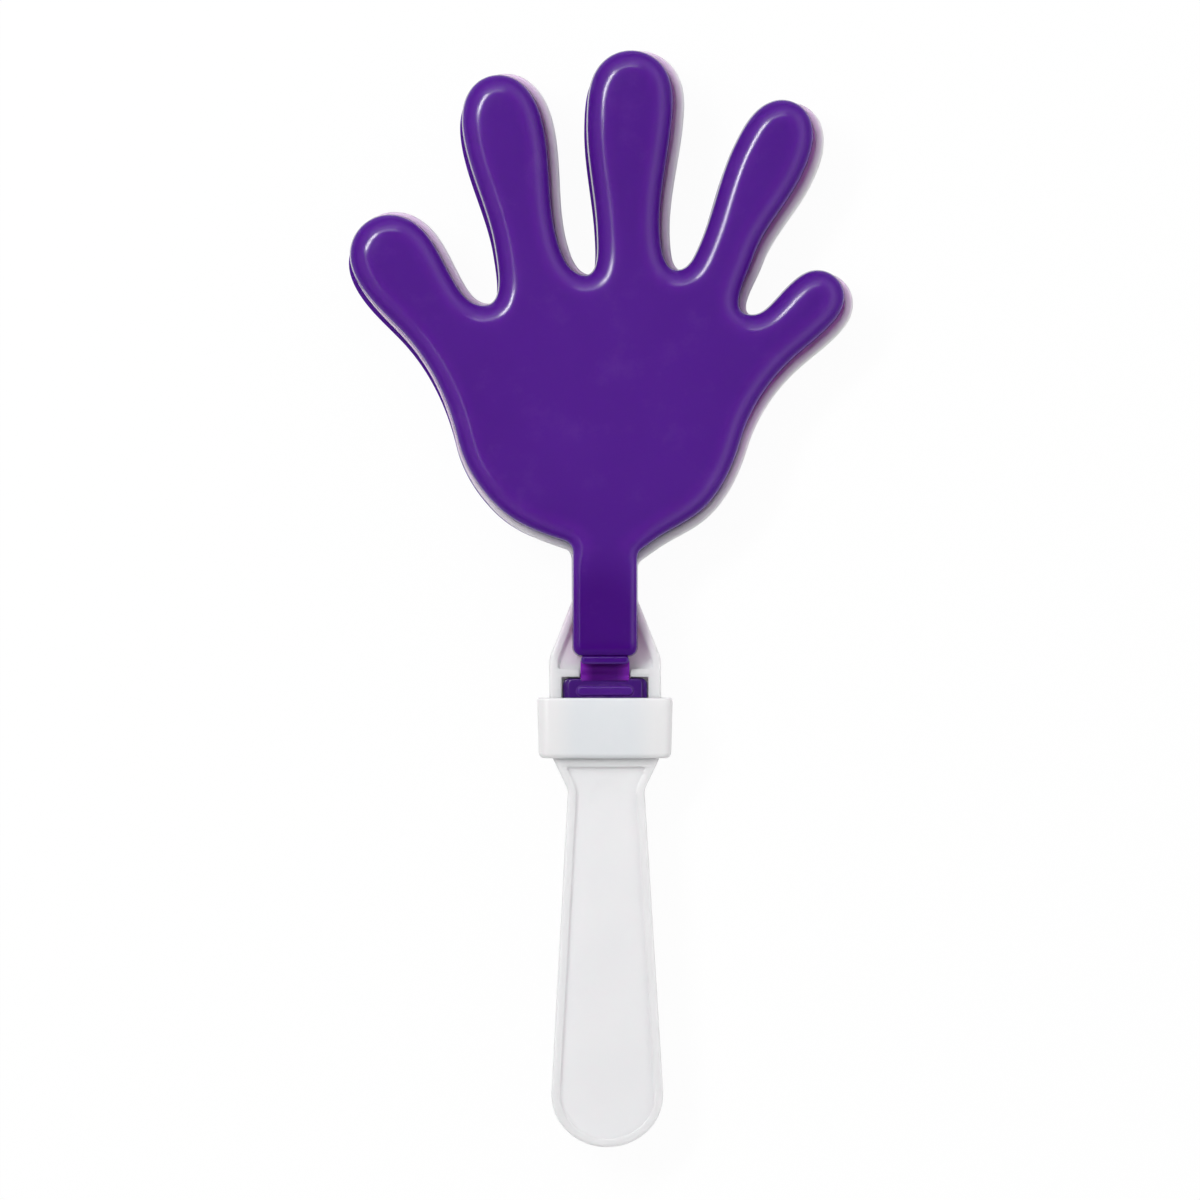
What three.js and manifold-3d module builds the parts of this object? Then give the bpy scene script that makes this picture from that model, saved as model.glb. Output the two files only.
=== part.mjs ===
// Hand clapper: a white handle with a hand on its end, and two hollow purple hands that swing against
// it on thin straps. A white collar slides over the handle and traps the anchor tabs of the straps.
//
// Millimetres. +Y runs from the handle to the fingertips, +Z is the side that faces up, and the whole
// object rests on the back of the rear hand. While the shapes are drawn, Y = 0 is the hinge line of
// the front hand and Z = 0 is the middle of the handle; the finished group is then moved so that
// its origin is the bottom centre of the object.

import * as THREE from 'three';
import { mergeVertices } from 'three/addons/utils/BufferGeometryUtils.js';
import Module from 'manifold-3d';

const wasm = await Module();
wasm.setup();

// Driving sizes of the hand outline. A finger starts at its root (x, y), leans up from the X axis by its
// angle, and has a round tip whose centre lies "reach" from the root. Each side of it ends in a point
// that lies "out" from its middle line and "rise" beyond the root, where the edge has turned a little
// from the finger's own direction.
const thumb = {
  x: -43, y: 90.7, angle: 128, reach: 19.4, radius: 10.4,
  leftOut: 9.8, leftRise: 0, leftTurn: 7,
  rightOut: 8.6, rightRise: 1, rightTurn: -9,
};
const indexFinger = {
  x: -21.1, y: 112.5, angle: 101, reach: 30, radius: 9.9,
  leftOut: 8.2, leftRise: 0, leftTurn: 2,
  rightOut: 7.8, rightRise: 0, rightTurn: -3,
};
const middleFinger = {
  x: 6.7, y: 106.9, angle: 90, reach: 40.4, radius: 10.9,
  leftOut: 8.5, leftRise: 0, leftTurn: 2,
  rightOut: 7.4, rightRise: 0.8, rightTurn: 6,
};
const ringFinger = {
  x: 30.7, y: 105.1, angle: 66, reach: 34, radius: 9.3,
  leftOut: 7.3, leftRise: 0, leftTurn: 6,
  rightOut: 6.3, rightRise: 0, rightTurn: 2,
};
const littleFinger = {
  x: 43.5, y: 83.8, angle: 46, reach: 15.4, radius: 7.2,
  leftOut: 7.4, leftRise: 6.4, leftTurn: 2,
  rightOut: 6.2, rightRise: 0, rightTurn: -4,
};

// A web dips below the lower of the two side points that it joins, and lies a little to one side of
// their middle.
const thumbWeb = { side: 1.3, drop: 3.7, turn: -3 };
const indexWeb = { side: 2.2, drop: 5.9, turn: -9 };
const middleWeb = { side: -0.5, drop: 5.5, turn: -1 };
const ringWeb = { side: -1.1, drop: 2.9, turn: 2 };

// Points of the palm's two edges, with the direction of the edge there, and where each edge meets
// the neck, as a reach out from the neck's side.
const thumbHip = { x: -37.6, y: 59, angle: 104 };
const thumbHeel = { x: -26.8, y: 41.1, angle: 137 };
const thumbFoot = { reach: 3.8, y: 33.1, angle: 162 };
const littleHip = { x: 34.9, y: 58.8, angle: -106 };
const littleHeel = { x: 24.8, y: 41.1, angle: -139 };
const littleFoot = { reach: 3.8, y: 33.3, angle: -144 };
const heelRadius = 3;

// Driving sizes of a purple hand: a shell with an open back.
const shellDepth = 8.5;
const shellWall = 1.6;
const shellDraft = 0.3;
const handEdge = { run: 4.8, drop: 3.4 };
const neckEdge = { run: 2.6, drop: 1.8 };
const neckWidth = 16.8;
const neckEndDepth = 5.8;
const neckSlopeTop = 31;
const neckBlend = { below: 6, above: 8 };
const neckEndGap = 3.4;
const neckCornerRadius = 2;

// Driving sizes of the strap, the anchor tab and the two stop ribs.
const strapWidth = 12.5;
const strapThickness = 0.8;
const neckRib = { width: 12.2, run: 2.2, height: 2 };
const tabPlate = { run: 12.4, thickness: 1.8, cornerRadius: 1.8 };
const tabStep = { margin: 1.2, thickness: 0.8, cornerRadius: 1.4 };
const tabRib = { width: 14.6, run: 2.7, height: 0.6, below: 1.95 };

// Driving sizes of the white moulding: rims round recessed panels on both faces, like an I-beam,
// with deeper pockets that leave a thin web between them.
const rimDepth = 10;
const recessDepth = 2;
const webDepth = 3;
const rimWidth = 2.1;
const rimEdge = 0.5;
const overhang = 1;
const shoulderWidth = 28.6;
const shoulderTop = 2.9;
const shoulderBottom = -21.2;
const centreNeckWidth = 16.6;
const flareTop = 18;
const shoulderRadius = 5;
const waistWidth = 19.6;
const waistLevel = -30.6;
const waistRadius = 4;
const handleEndWidth = 28.6;
const handleLength = 121.9;
const handleLean = { turn: 0.2, about: 60 };
const crossbarWidth = 2;
const crossbarTop = 0.25;
const pocketWidth = 22.2;
const gripRecessTop = -24.7;
const recessCorner = 1;
const strapNotchDepth = 1.9;
const pinMark = { radius: 4.2, level: -32.8, depth: 0.25 };

// Driving sizes of the collar.
const collarTop = -7.15;
const collarLength = 15.4;
const collarWall = 2.7;
const collarCorner = 3.2;
const collarTaper = 0.35;
const collarTopEdge = 0.6;
const collarBottomEdge = 1.3;

// Clearance between pieces, how far a tab can shift along its pocket, and how the loose hands lie
// on the centre one in the photograph.
const gap = 0.3;
const tabPlay = 2.6;
const centreLay = { turn: -0.7, slip: -1 };
const rearLay = { turn: 0.24, slip: -1.55 };

// Facet sizes.
const turnPerFacet = 15;
const lengthPerFacet = 7;
const arcFacets = 4;
const edgeFacets = 3;

// Levels that several pieces share.
const rimTop = rimDepth / 2;
const recessLevel = rimTop - recessDepth;
const webTop = webDepth / 2;
const shellBase = rimTop + gap;
const crossbarBottom = crossbarTop - crossbarWidth;
const tabTop = crossbarBottom - gap;
const pocketBottom = tabTop - tabPlate.run - tabPlay;
const tabLevel = webTop + gap;
const stepTop = tabLevel + tabPlate.thickness + tabStep.thickness;

const purple = { color: 0x502384, roughness: 0.28, metalness: 0 };
const white = { color: 0xe7e7ea, roughness: 0.45, metalness: 0 };

const radians = (degrees) => degrees * Math.PI / 180;
const direction = (degrees) => new THREE.Vector2(Math.cos(radians(degrees)), Math.sin(radians(degrees)));
const sideOf = (degrees) => direction(degrees + 90);

// A node is a point of an outline with the heading of the edge that runs through it, in degrees.
function node(x, y, heading) {
  return { at: new THREE.Vector2(x, y), heading };
}

// Two nodes that round the corner between two straight edges with one arc.
function corner(x, y, headingIn, headingOut, radius) {
  const turn = Math.abs(((headingOut - headingIn + 540) % 360) - 180);
  const reach = radius * Math.tan(radians(turn / 2));
  const at = new THREE.Vector2(x, y);
  const first = at.clone().addScaledVector(direction(headingIn), -reach);
  const last = at.clone().addScaledVector(direction(headingOut), reach);
  return [{ at: first, heading: headingIn }, { at: last, heading: headingOut }];
}

function fingerNodes(finger) {
  const up = finger.angle;
  const down = finger.angle - 180;
  const root = new THREE.Vector2(finger.x, finger.y);
  const place = (rise, out) => root.clone()
    .addScaledVector(direction(up), rise)
    .addScaledVector(sideOf(up), out);
  return [
    { at: place(finger.leftRise, finger.leftOut), heading: up + finger.leftTurn },
    { at: place(finger.reach, finger.radius), heading: up },
    { at: place(finger.reach + finger.radius, 0), heading: up - 90 },
    { at: place(finger.reach, -finger.radius), heading: down },
    { at: place(finger.rightRise, -finger.rightOut), heading: down + finger.rightTurn },
  ];
}

function webNode(web, before, after) {
  const middle = (before.at.x + after.at.x) / 2;
  return node(middle + web.side, Math.min(before.at.y, after.at.y) - web.drop, web.turn);
}

// The hand from foot to foot, clockwise: up the thumb side, round the fingers and down again.
function handNodes() {
  const half = neckWidth / 2;
  const fingers = [thumb, indexFinger, middleFinger, ringFinger, littleFinger].map(fingerNodes);
  const nodes = [
    node(-half - thumbFoot.reach, thumbFoot.y, thumbFoot.angle),
    node(thumbHeel.x, thumbHeel.y, thumbHeel.angle),
    node(thumbHip.x, thumbHip.y, thumbHip.angle),
    ...fingers[0],
  ];
  [thumbWeb, indexWeb, middleWeb, ringWeb].forEach((web, index) => {
    const next = fingers[index + 1];
    nodes.push(webNode(web, nodes[nodes.length - 1], next[0]), ...next);
  });
  nodes.push(
    node(littleHip.x, littleHip.y, littleHip.angle),
    node(littleHeel.x, littleHeel.y, littleHeel.angle),
    node(half + littleFoot.reach, littleFoot.y, littleFoot.angle),
  );
  return nodes;
}

function turnAndSlip(point, lay) {
  const turned = point.clone().rotateAround(new THREE.Vector2(0, 0), radians(lay.turn));
  return turned.add(new THREE.Vector2(0, lay.slip));
}

// The fillet between an upright neck edge at x and the sloping edge through a heel node.
function heelFillet(x, heel) {
  const slope = Math.tan(radians(heel.heading));
  const y = heel.at.y + (x - heel.at.x) * slope;
  return x < 0
    ? corner(x, y, 90, heel.heading, heelRadius)
    : corner(x, y, heel.heading, -90, heelRadius);
}

// Points along the smooth curve through the nodes, each with its outward direction. A stretch
// between two nodes is one Bezier curve whose handles make it an arc where it turns one way.
function sampleOutline(nodes) {
  const samples = [];
  nodes.forEach((start, index) => {
    const end = nodes[(index + 1) % nodes.length];
    const chord = start.at.distanceTo(end.at);
    if (chord < 1e-6) return;
    const turn = ((end.heading - start.heading + 540) % 360) - 180;
    const handle = chord / (3 * Math.cos(radians(turn / 4)) ** 2);
    const curve = new THREE.CubicBezierCurve(
      start.at,
      start.at.clone().addScaledVector(direction(start.heading), handle),
      end.at.clone().addScaledVector(direction(end.heading), -handle),
      end.at,
    );
    const away = end.at.clone().sub(start.at).dot(sideOf(start.heading));
    const straight = Math.abs(turn) < 0.01 && Math.abs(away) < 0.001;
    const steps = start.steps ?? (straight ? 1 : Math.max(
      1,
      Math.ceil(Math.abs(turn) / turnPerFacet),
      Math.ceil(chord / lengthPerFacet),
    ));
    for (let step = 0; step < steps; step += 1) {
      const at = curve.getPoint(step / steps);
      const tangent = curve.getTangent(step / steps);
      samples.push({ at, out: new THREE.Vector2(-tangent.y, tangent.x) });
    }
  });
  return samples;
}

// One purple outline. Its first and last stretches have matching facets, so that the neck can be
// covered by a ladder of faces that slopes down towards the strap.
function shellOutline() {
  const half = neckWidth / 2;
  const hand = handNodes();
  const lowerLeft = corner(-half, neckEndGap, 180, 90, neckCornerRadius);
  const lowerRight = corner(half, neckEndGap, -90, -180, neckCornerRadius);
  const upperLeft = heelFillet(-half, hand[0]);
  const upperRight = heelFillet(half, hand[hand.length - 1]);
  const nodes = [
    node(0, neckEndGap, 180),
    ...lowerLeft,
    ...upperLeft,
    ...hand,
    ...upperRight,
    ...lowerRight,
  ];
  const neckFacets = [1, arcFacets, arcFacets, arcFacets, 1];
  neckFacets.forEach((steps, index) => {
    nodes[index].steps = steps;
    nodes[nodes.length - 1 - index].steps = steps;
  });
  const ladder = neckFacets.reduce((sum, steps) => sum + steps, 0);
  return { samples: sampleOutline(nodes), ladder };
}

const smooth = (low, high, value) => THREE.MathUtils.smoothstep(value, low, high);

// Depth of the shell's face above its open back: level over the hand, sloping along the neck.
function faceDepth(y) {
  const down = THREE.MathUtils.clamp((neckSlopeTop - y) / (neckSlopeTop - neckEndGap), 0, 1);
  const eased = down * smooth(0, 0.5, down) * 0.5 + down * 0.5;
  return shellDepth - (shellDepth - neckEndDepth) * eased;
}

// The soft upper edge is a quarter of an ellipse: how far it runs in from the side, and how far it
// drops below the face. It is smaller on the neck.
function edgeAt(y) {
  const share = smooth(neckSlopeTop - neckBlend.below, neckSlopeTop + neckBlend.above, y);
  return {
    run: neckEdge.run + (handEdge.run - neckEdge.run) * share,
    drop: neckEdge.drop + (handEdge.drop - neckEdge.drop) * share,
  };
}

// Moves an outline point inwards. On the neck the moved point stays inside the two sides and the
// end, so a deep inset closes its corners instead of crossing them.
function insetPoint(sample, inset) {
  const point = sample.at.clone().addScaledVector(sample.out, -inset);
  if (sample.at.y < neckSlopeTop - neckBlend.below) {
    const half = neckWidth / 2 - inset;
    point.x = THREE.MathUtils.clamp(point.x, -half, half);
    point.y = Math.max(point.y, neckEndGap + inset);
  }
  return point;
}

function shellRing(samples, insetAt, levelAt) {
  return samples.map((sample) => {
    const point = insetPoint(sample, insetAt(sample.at.y));
    return new THREE.Vector3(point.x, point.y, shellBase + levelAt(sample.at.y));
  });
}

function shellRings(samples) {
  const roof = (y) => faceDepth(y) - shellWall;
  const innerRound = (y) => Math.max(edgeAt(y).drop - shellWall, 0.3);
  const rings = [
    shellRing(samples, (y) => shellWall + shellDraft + innerRound(y), roof),
    shellRing(samples, () => shellWall + shellDraft, (y) => roof(y) - innerRound(y)),
    shellRing(samples, () => shellWall, () => 0),
    shellRing(samples, () => 0, () => 0),
  ];
  for (let step = 0; step <= edgeFacets; step += 1) {
    const angle = (Math.PI / 2) * (step / edgeFacets);
    rings.push(shellRing(
      samples,
      (y) => shellDraft + edgeAt(y).run * (1 - Math.cos(angle)),
      (y) => faceDepth(y) - edgeAt(y).drop * (1 - Math.sin(angle)),
    ));
  }
  return rings;
}

// Triangles that fill a ring seen from above, the first part of it as a ladder between matching
// points of the two neck edges.
function capTriangles(ring, ladder) {
  const last = ring.length;
  const triangles = [];
  const area = (a, b, c) => (b.x - a.x) * (c.y - a.y) - (b.y - a.y) * (c.x - a.x);
  const add = (a, b, c) => {
    const upward = area(ring[a], ring[b], ring[c]) > 0;
    triangles.push(upward ? [a, b, c] : [a, c, b]);
  };
  if (ladder > 0) add(0, 1, last - 1);
  for (let step = 1; step < ladder; step += 1) {
    add(step, step + 1, last - step);
    add(last - step, step + 1, last - step - 1);
  }
  const body = [];
  for (let index = ladder; index <= last - Math.max(ladder, 1); index += 1) body.push(index);
  const contour = body.map((index) => new THREE.Vector2(ring[index].x, ring[index].y));
  THREE.ShapeUtils.triangulateShape(contour, []).forEach(([a, b, c]) => add(body[a], body[b], body[c]));
  return triangles;
}

function weld(points, triangles) {
  const geometry = new THREE.BufferGeometry();
  const numbers = points.flatMap((point) => [point.x, point.y, point.z]);
  geometry.setAttribute('position', new THREE.Float32BufferAttribute(numbers, 3));
  geometry.setIndex(triangles.flat());
  const merged = mergeVertices(geometry, 1e-4);
  const index = merged.getIndex().array;
  const kept = [];
  for (let i = 0; i < index.length; i += 3) {
    const [a, b, c] = [index[i], index[i + 1], index[i + 2]];
    if (a !== b && b !== c && c !== a) kept.push(a, b, c);
  }
  merged.setIndex(kept);
  return merged;
}

// A closed body through a stack of rings with equal counts. The rings run clockwise seen from above.
// The first ring is closed by a face that looks down and the last by one that looks up, unless
// the stack returns to its first ring.
function loft(rings, { ladder = 0, endless = false } = {}) {
  const count = rings[0].length;
  const points = rings.flat();
  const triangles = [];
  const strips = endless ? rings.length : rings.length - 1;
  for (let strip = 0; strip < strips; strip += 1) {
    const lower = strip * count;
    const upper = ((strip + 1) % rings.length) * count;
    for (let i = 0; i < count; i += 1) {
      const j = (i + 1) % count;
      triangles.push([lower + i, upper + i, lower + j]);
      triangles.push([lower + j, upper + i, upper + j]);
    }
  }
  if (!endless) {
    capTriangles(rings[0], ladder).forEach(([a, b, c]) => triangles.push([a, c, b]));
    const top = (rings.length - 1) * count;
    capTriangles(rings[rings.length - 1], ladder)
      .forEach(([a, b, c]) => triangles.push([top + a, top + b, top + c]));
  }
  return weld(points, triangles);
}

// A straight-sided body over an outline of Vector2 points, clockwise seen from above.
function prism(outline, bottom, top) {
  const ringAt = (z) => outline.map((point) => new THREE.Vector3(point.x, point.y, z));
  return loft([ringAt(bottom), ringAt(top)]);
}

// A rounded rectangle, clockwise, starting at its lower left.
function roundedRectangle(centreX, centreY, width, height, radius, facets = arcFacets) {
  const points = [];
  const corners = [[-1, -1, 270], [-1, 1, 180], [1, 1, 90], [1, -1, 0]];
  corners.forEach(([sideX, sideY, from]) => {
    const x = centreX + sideX * (width / 2 - radius);
    const y = centreY + sideY * (height / 2 - radius);
    for (let step = 0; step <= facets; step += 1) {
      const out = direction(from - 90 * (step / facets));
      points.push(new THREE.Vector2(x + radius * out.x, y + radius * out.y));
    }
  });
  return points;
}

function block(centreX, centreY, width, height, bottom, top) {
  return prism(roundedRectangle(centreX, centreY, width, height, 0.01, 1), bottom, top);
}

function toSolid(geometry) {
  const bare = geometry.clone();
  bare.deleteAttribute('normal');
  bare.deleteAttribute('uv');
  const merged = mergeVertices(bare, 1e-4);
  return new wasm.Manifold(new wasm.Mesh({
    numProp: 3,
    vertProperties: new Float32Array(merged.getAttribute('position').array),
    triVerts: new Uint32Array(merged.getIndex().array),
  }));
}

function toGeometry(solid) {
  const mesh = solid.getMesh();
  const geometry = new THREE.BufferGeometry();
  geometry.setAttribute('position', new THREE.BufferAttribute(mesh.vertProperties, 3));
  geometry.setIndex(new THREE.BufferAttribute(mesh.triVerts, 1));
  return geometry;
}

// The same body on the other side of the handle's middle plane.
function mirrored(geometry) {
  const copy = geometry.clone().scale(1, 1, -1);
  const index = copy.getIndex().array;
  for (let i = 0; i < index.length; i += 3) [index[i + 1], index[i + 2]] = [index[i + 2], index[i + 1]];
  return copy;
}

// One purple hand: the open-backed shell with the stop rib on the end of its neck.
function handShell() {
  const { samples, ladder } = shellOutline();
  const shell = toSolid(loft(shellRings(samples), { ladder }));
  const ribMiddle = neckEndGap + gap - neckRib.run / 2;
  const ribOutline = roundedRectangle(0, ribMiddle, neckRib.width, neckRib.run, neckRib.run / 2 - 0.05);
  const rib = toSolid(prism(ribOutline, shellBase, shellBase + neckRib.height));
  return toGeometry(shell.add(rib));
}

// The thin strap: it leaves the neck at the shell's back, dips through the notch in the crossbar
// and runs on to the top of the anchor tab.
function hingeStrap() {
  const start = new THREE.Vector2(neckEndGap + gap - neckRib.run - gap, shellBase + strapThickness / 2);
  const end = new THREE.Vector2(tabTop + gap, stepTop - strapThickness / 2);
  const middle = (start.x + end.x) / 2;
  const curve = new THREE.CubicBezierCurve(
    start,
    new THREE.Vector2(middle, start.y),
    new THREE.Vector2(middle, end.y),
    end,
  );
  const upper = [];
  const lower = [];
  const steps = 8;
  for (let step = 0; step <= steps; step += 1) {
    const at = curve.getPoint(step / steps);
    const tangent = curve.getTangent(step / steps);
    const across = new THREE.Vector2(-tangent.y, tangent.x).multiplyScalar(strapThickness / 2);
    upper.push(at.clone().add(across));
    lower.push(at.clone().sub(across));
  }
  const profile = new THREE.Shape([...upper, ...lower.reverse()]);
  const geometry = new THREE.ExtrudeGeometry(profile, { depth: strapWidth, bevelEnabled: false });
  const axes = new THREE.Matrix4().makeBasis(
    new THREE.Vector3(0, 1, 0),
    new THREE.Vector3(0, 0, 1),
    new THREE.Vector3(1, 0, 0),
  );
  geometry.applyMatrix4(axes).translate(-strapWidth / 2, 0, 0);
  return toGeometry(toSolid(geometry));
}

// The anchor tab that drops into the handle's pocket: a plate, a narrower step and a stop rib.
function anchorTab() {
  const middle = tabTop - tabPlate.run / 2;
  const plateWidth = pocketWidth - 2 * gap;
  const plate = prism(
    roundedRectangle(0, middle, plateWidth, tabPlate.run, tabPlate.cornerRadius),
    tabLevel,
    tabLevel + tabPlate.thickness,
  );
  const step = prism(
    roundedRectangle(
      0, middle, plateWidth - 2 * tabStep.margin, tabPlate.run - gap, tabStep.cornerRadius,
    ),
    tabLevel + tabPlate.thickness / 2,
    stepTop,
  );
  const ribMiddle = tabTop - tabRib.below - tabRib.run / 2;
  const rib = prism(
    roundedRectangle(0, ribMiddle, tabRib.width, tabRib.run, tabRib.run / 2 - 0.05),
    tabLevel + tabPlate.thickness,
    stepTop + tabRib.height,
  );
  return toGeometry(toSolid(plate).add(toSolid(step)).add(toSolid(rib)));
}

// The white outline: the hand, a little larger than the purple ones, its neck, the shoulder that
// holds the pockets, and the handle, which leans a touch to one side.
function centreOutline() {
  const hand = handNodes().map((entry) => ({
    at: turnAndSlip(entry.at.clone().addScaledVector(sideOf(entry.heading), overhang), centreLay),
    heading: entry.heading + centreLay.turn,
  }));
  const neck = centreNeckWidth / 2;
  const shoulder = shoulderWidth / 2;
  const flare = THREE.MathUtils.radToDeg(Math.atan2(flareTop - shoulderTop, shoulder - neck));
  const waist = waistWidth / 2;
  const endRadius = handleEndWidth / 2;
  const endLevel = endRadius - handleLength;
  const taper = THREE.MathUtils.radToDeg(Math.atan2(endRadius - waist, waistLevel - endLevel));
  const flank = THREE.MathUtils.radToDeg(Math.atan2(shoulder - waist, shoulderBottom - waistLevel));
  const grip = (nodes) => nodes.map((entry) => ({
    at: entry.at.clone().rotateAround(new THREE.Vector2(0, handleLean.about), radians(handleLean.turn)),
    heading: entry.heading + handleLean.turn,
  }));
  return sampleOutline([
    ...grip([
      node(0, -handleLength, 180),
      node(-endRadius, endLevel, 90 - taper),
      ...corner(-waist, waistLevel, 90 - taper, 90 + flank, waistRadius),
      ...corner(-shoulder, shoulderBottom, 90 + flank, 90, shoulderRadius),
    ]),
    ...corner(-shoulder, shoulderTop, 90, flare, shoulderRadius),
    ...corner(-neck, flareTop, flare, 90, shoulderRadius),
    ...heelFillet(-neck, hand[0]),
    ...hand,
    ...heelFillet(neck, hand[hand.length - 1]),
    ...corner(neck, flareTop, -90, -flare, shoulderRadius),
    ...corner(shoulder, shoulderTop, -flare, -90, shoulderRadius),
    ...grip([
      ...corner(shoulder, shoulderBottom, -90, -90 - flank, shoulderRadius),
      ...corner(waist, waistLevel, -90 - flank, taper - 90, waistRadius),
      node(endRadius, endLevel, taper - 90),
    ]),
  ]);
}

// Keeps the part of a closed outline on one side of a level, with the two new corners rounded.
function clipOutline(points, level, keepAbove) {
  const inside = (point) => (keepAbove ? point.y > level : point.y < level);
  const previous = (i) => points[(i + points.length - 1) % points.length];
  const first = points.findIndex((point, i) => inside(point) && !inside(previous(i)));
  const kept = [];
  for (let i = 0; i < points.length; i += 1) {
    const point = points[(first + i) % points.length];
    if (!inside(point)) break;
    kept.push(point);
  }
  const crossing = (from, to) => from.clone().lerp(to, (level - from.y) / (to.y - from.y));
  const before = previous(first);
  const after = points[(first + kept.length) % points.length];
  const start = crossing(before, kept[0]);
  const end = crossing(kept[kept.length - 1], after);
  const across = start.clone().sub(end).normalize();
  const rounded = (cornerPoint, neighbour, towards) => {
    const edge = neighbour.clone().sub(cornerPoint);
    const reach = Math.min(recessCorner, edge.length() * 0.9);
    const on = cornerPoint.clone().addScaledVector(edge.normalize(), reach);
    const along = cornerPoint.clone().addScaledVector(towards, reach);
    const bend = new THREE.QuadraticBezierCurve(on, cornerPoint, along);
    return bend.getPoints(arcFacets);
  };
  const endCurve = rounded(end, kept[kept.length - 1], across);
  const startCurve = rounded(start, kept[0], across.clone().negate()).reverse();
  return [...kept, ...endCurve, ...startCurve];
}

// The handle and the centre hand, one moulding: recessed panels on both faces, a pocket on each
// side for the anchor tabs, and a notch in each crossbar for the strap.
function centreMoulding() {
  const samples = centreOutline();
  const outline = (inset) => samples.map((sample) => sample.at.clone().addScaledVector(sample.out, -inset));
  const ring = (inset, z) => outline(inset).map((point) => new THREE.Vector3(point.x, point.y, z));
  let solid = toSolid(loft([
    ring(rimEdge, -rimTop),
    ring(0, rimEdge - rimTop),
    ring(0, rimTop - rimEdge),
    ring(rimEdge, rimTop),
  ]));
  const panel = outline(rimWidth);
  const cuts = [
    prism(clipOutline(panel, crossbarTop, true), recessLevel, shellBase),
    prism(clipOutline(panel, gripRecessTop, false), recessLevel, shellBase),
    block(
      0, (crossbarBottom + pocketBottom) / 2, pocketWidth, crossbarBottom - pocketBottom,
      webTop, shellBase,
    ),
    block(
      0, (crossbarTop + crossbarBottom) / 2, strapWidth + 2 * gap, crossbarWidth + gap,
      rimTop - strapNotchDepth, shellBase,
    ),
    pinMarkCut(),
  ];
  cuts.forEach((cut) => {
    solid = solid.subtract(toSolid(cut)).subtract(toSolid(mirrored(cut)));
  });
  return toGeometry(solid);
}

function pinMarkCut() {
  const facets = 24;
  const outline = [];
  for (let step = 0; step < facets; step += 1) {
    const out = direction(-360 * (step / facets)).multiplyScalar(pinMark.radius);
    outline.push(out.add(new THREE.Vector2(0, pinMark.level)));
  }
  return prism(outline, recessLevel - pinMark.depth, recessLevel + gap);
}

// The collar: a sleeve round the shoulder, slightly narrower at its lower end.
function collar() {
  const innerWidth = shoulderWidth + 2 * gap;
  const innerDepth = rimDepth + 2 * gap;
  const bottom = collarTop - collarLength;
  const section = (width, depth, radius, y) => roundedRectangle(0, 0, width, depth, radius)
    .map((point) => new THREE.Vector3(point.x, y, point.y));
  const outer = (inset, y) => {
    const size = 2 * (collarWall - inset);
    return section(innerWidth + size, innerDepth + size, collarCorner - inset, y);
  };
  const inner = (y) => section(innerWidth, innerDepth, rimEdge, y);
  const rings = [inner(collarTop), outer(collarTopEdge, collarTop)];
  for (let step = 1; step <= 2; step += 1) {
    const angle = (Math.PI / 2) * (step / 2);
    const inset = collarTopEdge * (1 - Math.sin(angle));
    rings.push(outer(inset, collarTop - collarTopEdge * (1 - Math.cos(angle))));
  }
  for (let step = 0; step <= edgeFacets; step += 1) {
    const angle = (Math.PI / 2) * (step / edgeFacets);
    rings.push(outer(
      collarTaper + collarBottomEdge * (1 - Math.cos(angle)),
      bottom + collarBottomEdge * (1 - Math.sin(angle)),
    ));
  }
  rings.push(inner(bottom));
  return toGeometry(toSolid(loft(rings, { endless: true })));
}

function part(name, geometry, finish) {
  const material = new THREE.MeshStandardMaterial(finish);
  const mesh = new THREE.Mesh(geometry, material);
  mesh.name = name;
  return mesh;
}

const shell = handShell();
const strap = hingeStrap();
const tab = anchorTab();

const clapper = new THREE.Group();
clapper.add(part('handle_and_centre_hand', centreMoulding(), white));
clapper.add(part('locking_collar', collar(), white));
clapper.add(part('front_hand', shell, purple));
clapper.add(part('front_hinge_strap', strap, purple));
clapper.add(part('front_anchor_tab', tab, purple));

// The rear hand is the mirror image of the front one, and lies a little lower and turned.
const rear = new THREE.Group();
rear.add(part('rear_hand', mirrored(shell), purple));
rear.add(part('rear_hinge_strap', mirrored(strap), purple));
rear.add(part('rear_anchor_tab', mirrored(tab), purple));
rear.position.y = rearLay.slip;
rear.rotation.z = radians(rearLay.turn);
clapper.add(rear);

// The origin goes to the bottom centre of the whole object.
clapper.updateMatrixWorld(true);
const bounds = new THREE.Box3().setFromObject(clapper, true);
clapper.position.set(
  -(bounds.min.x + bounds.max.x) / 2,
  -(bounds.min.y + bounds.max.y) / 2,
  -bounds.min.z,
);
clapper.updateMatrixWorld(true);

export default clapper;
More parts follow.
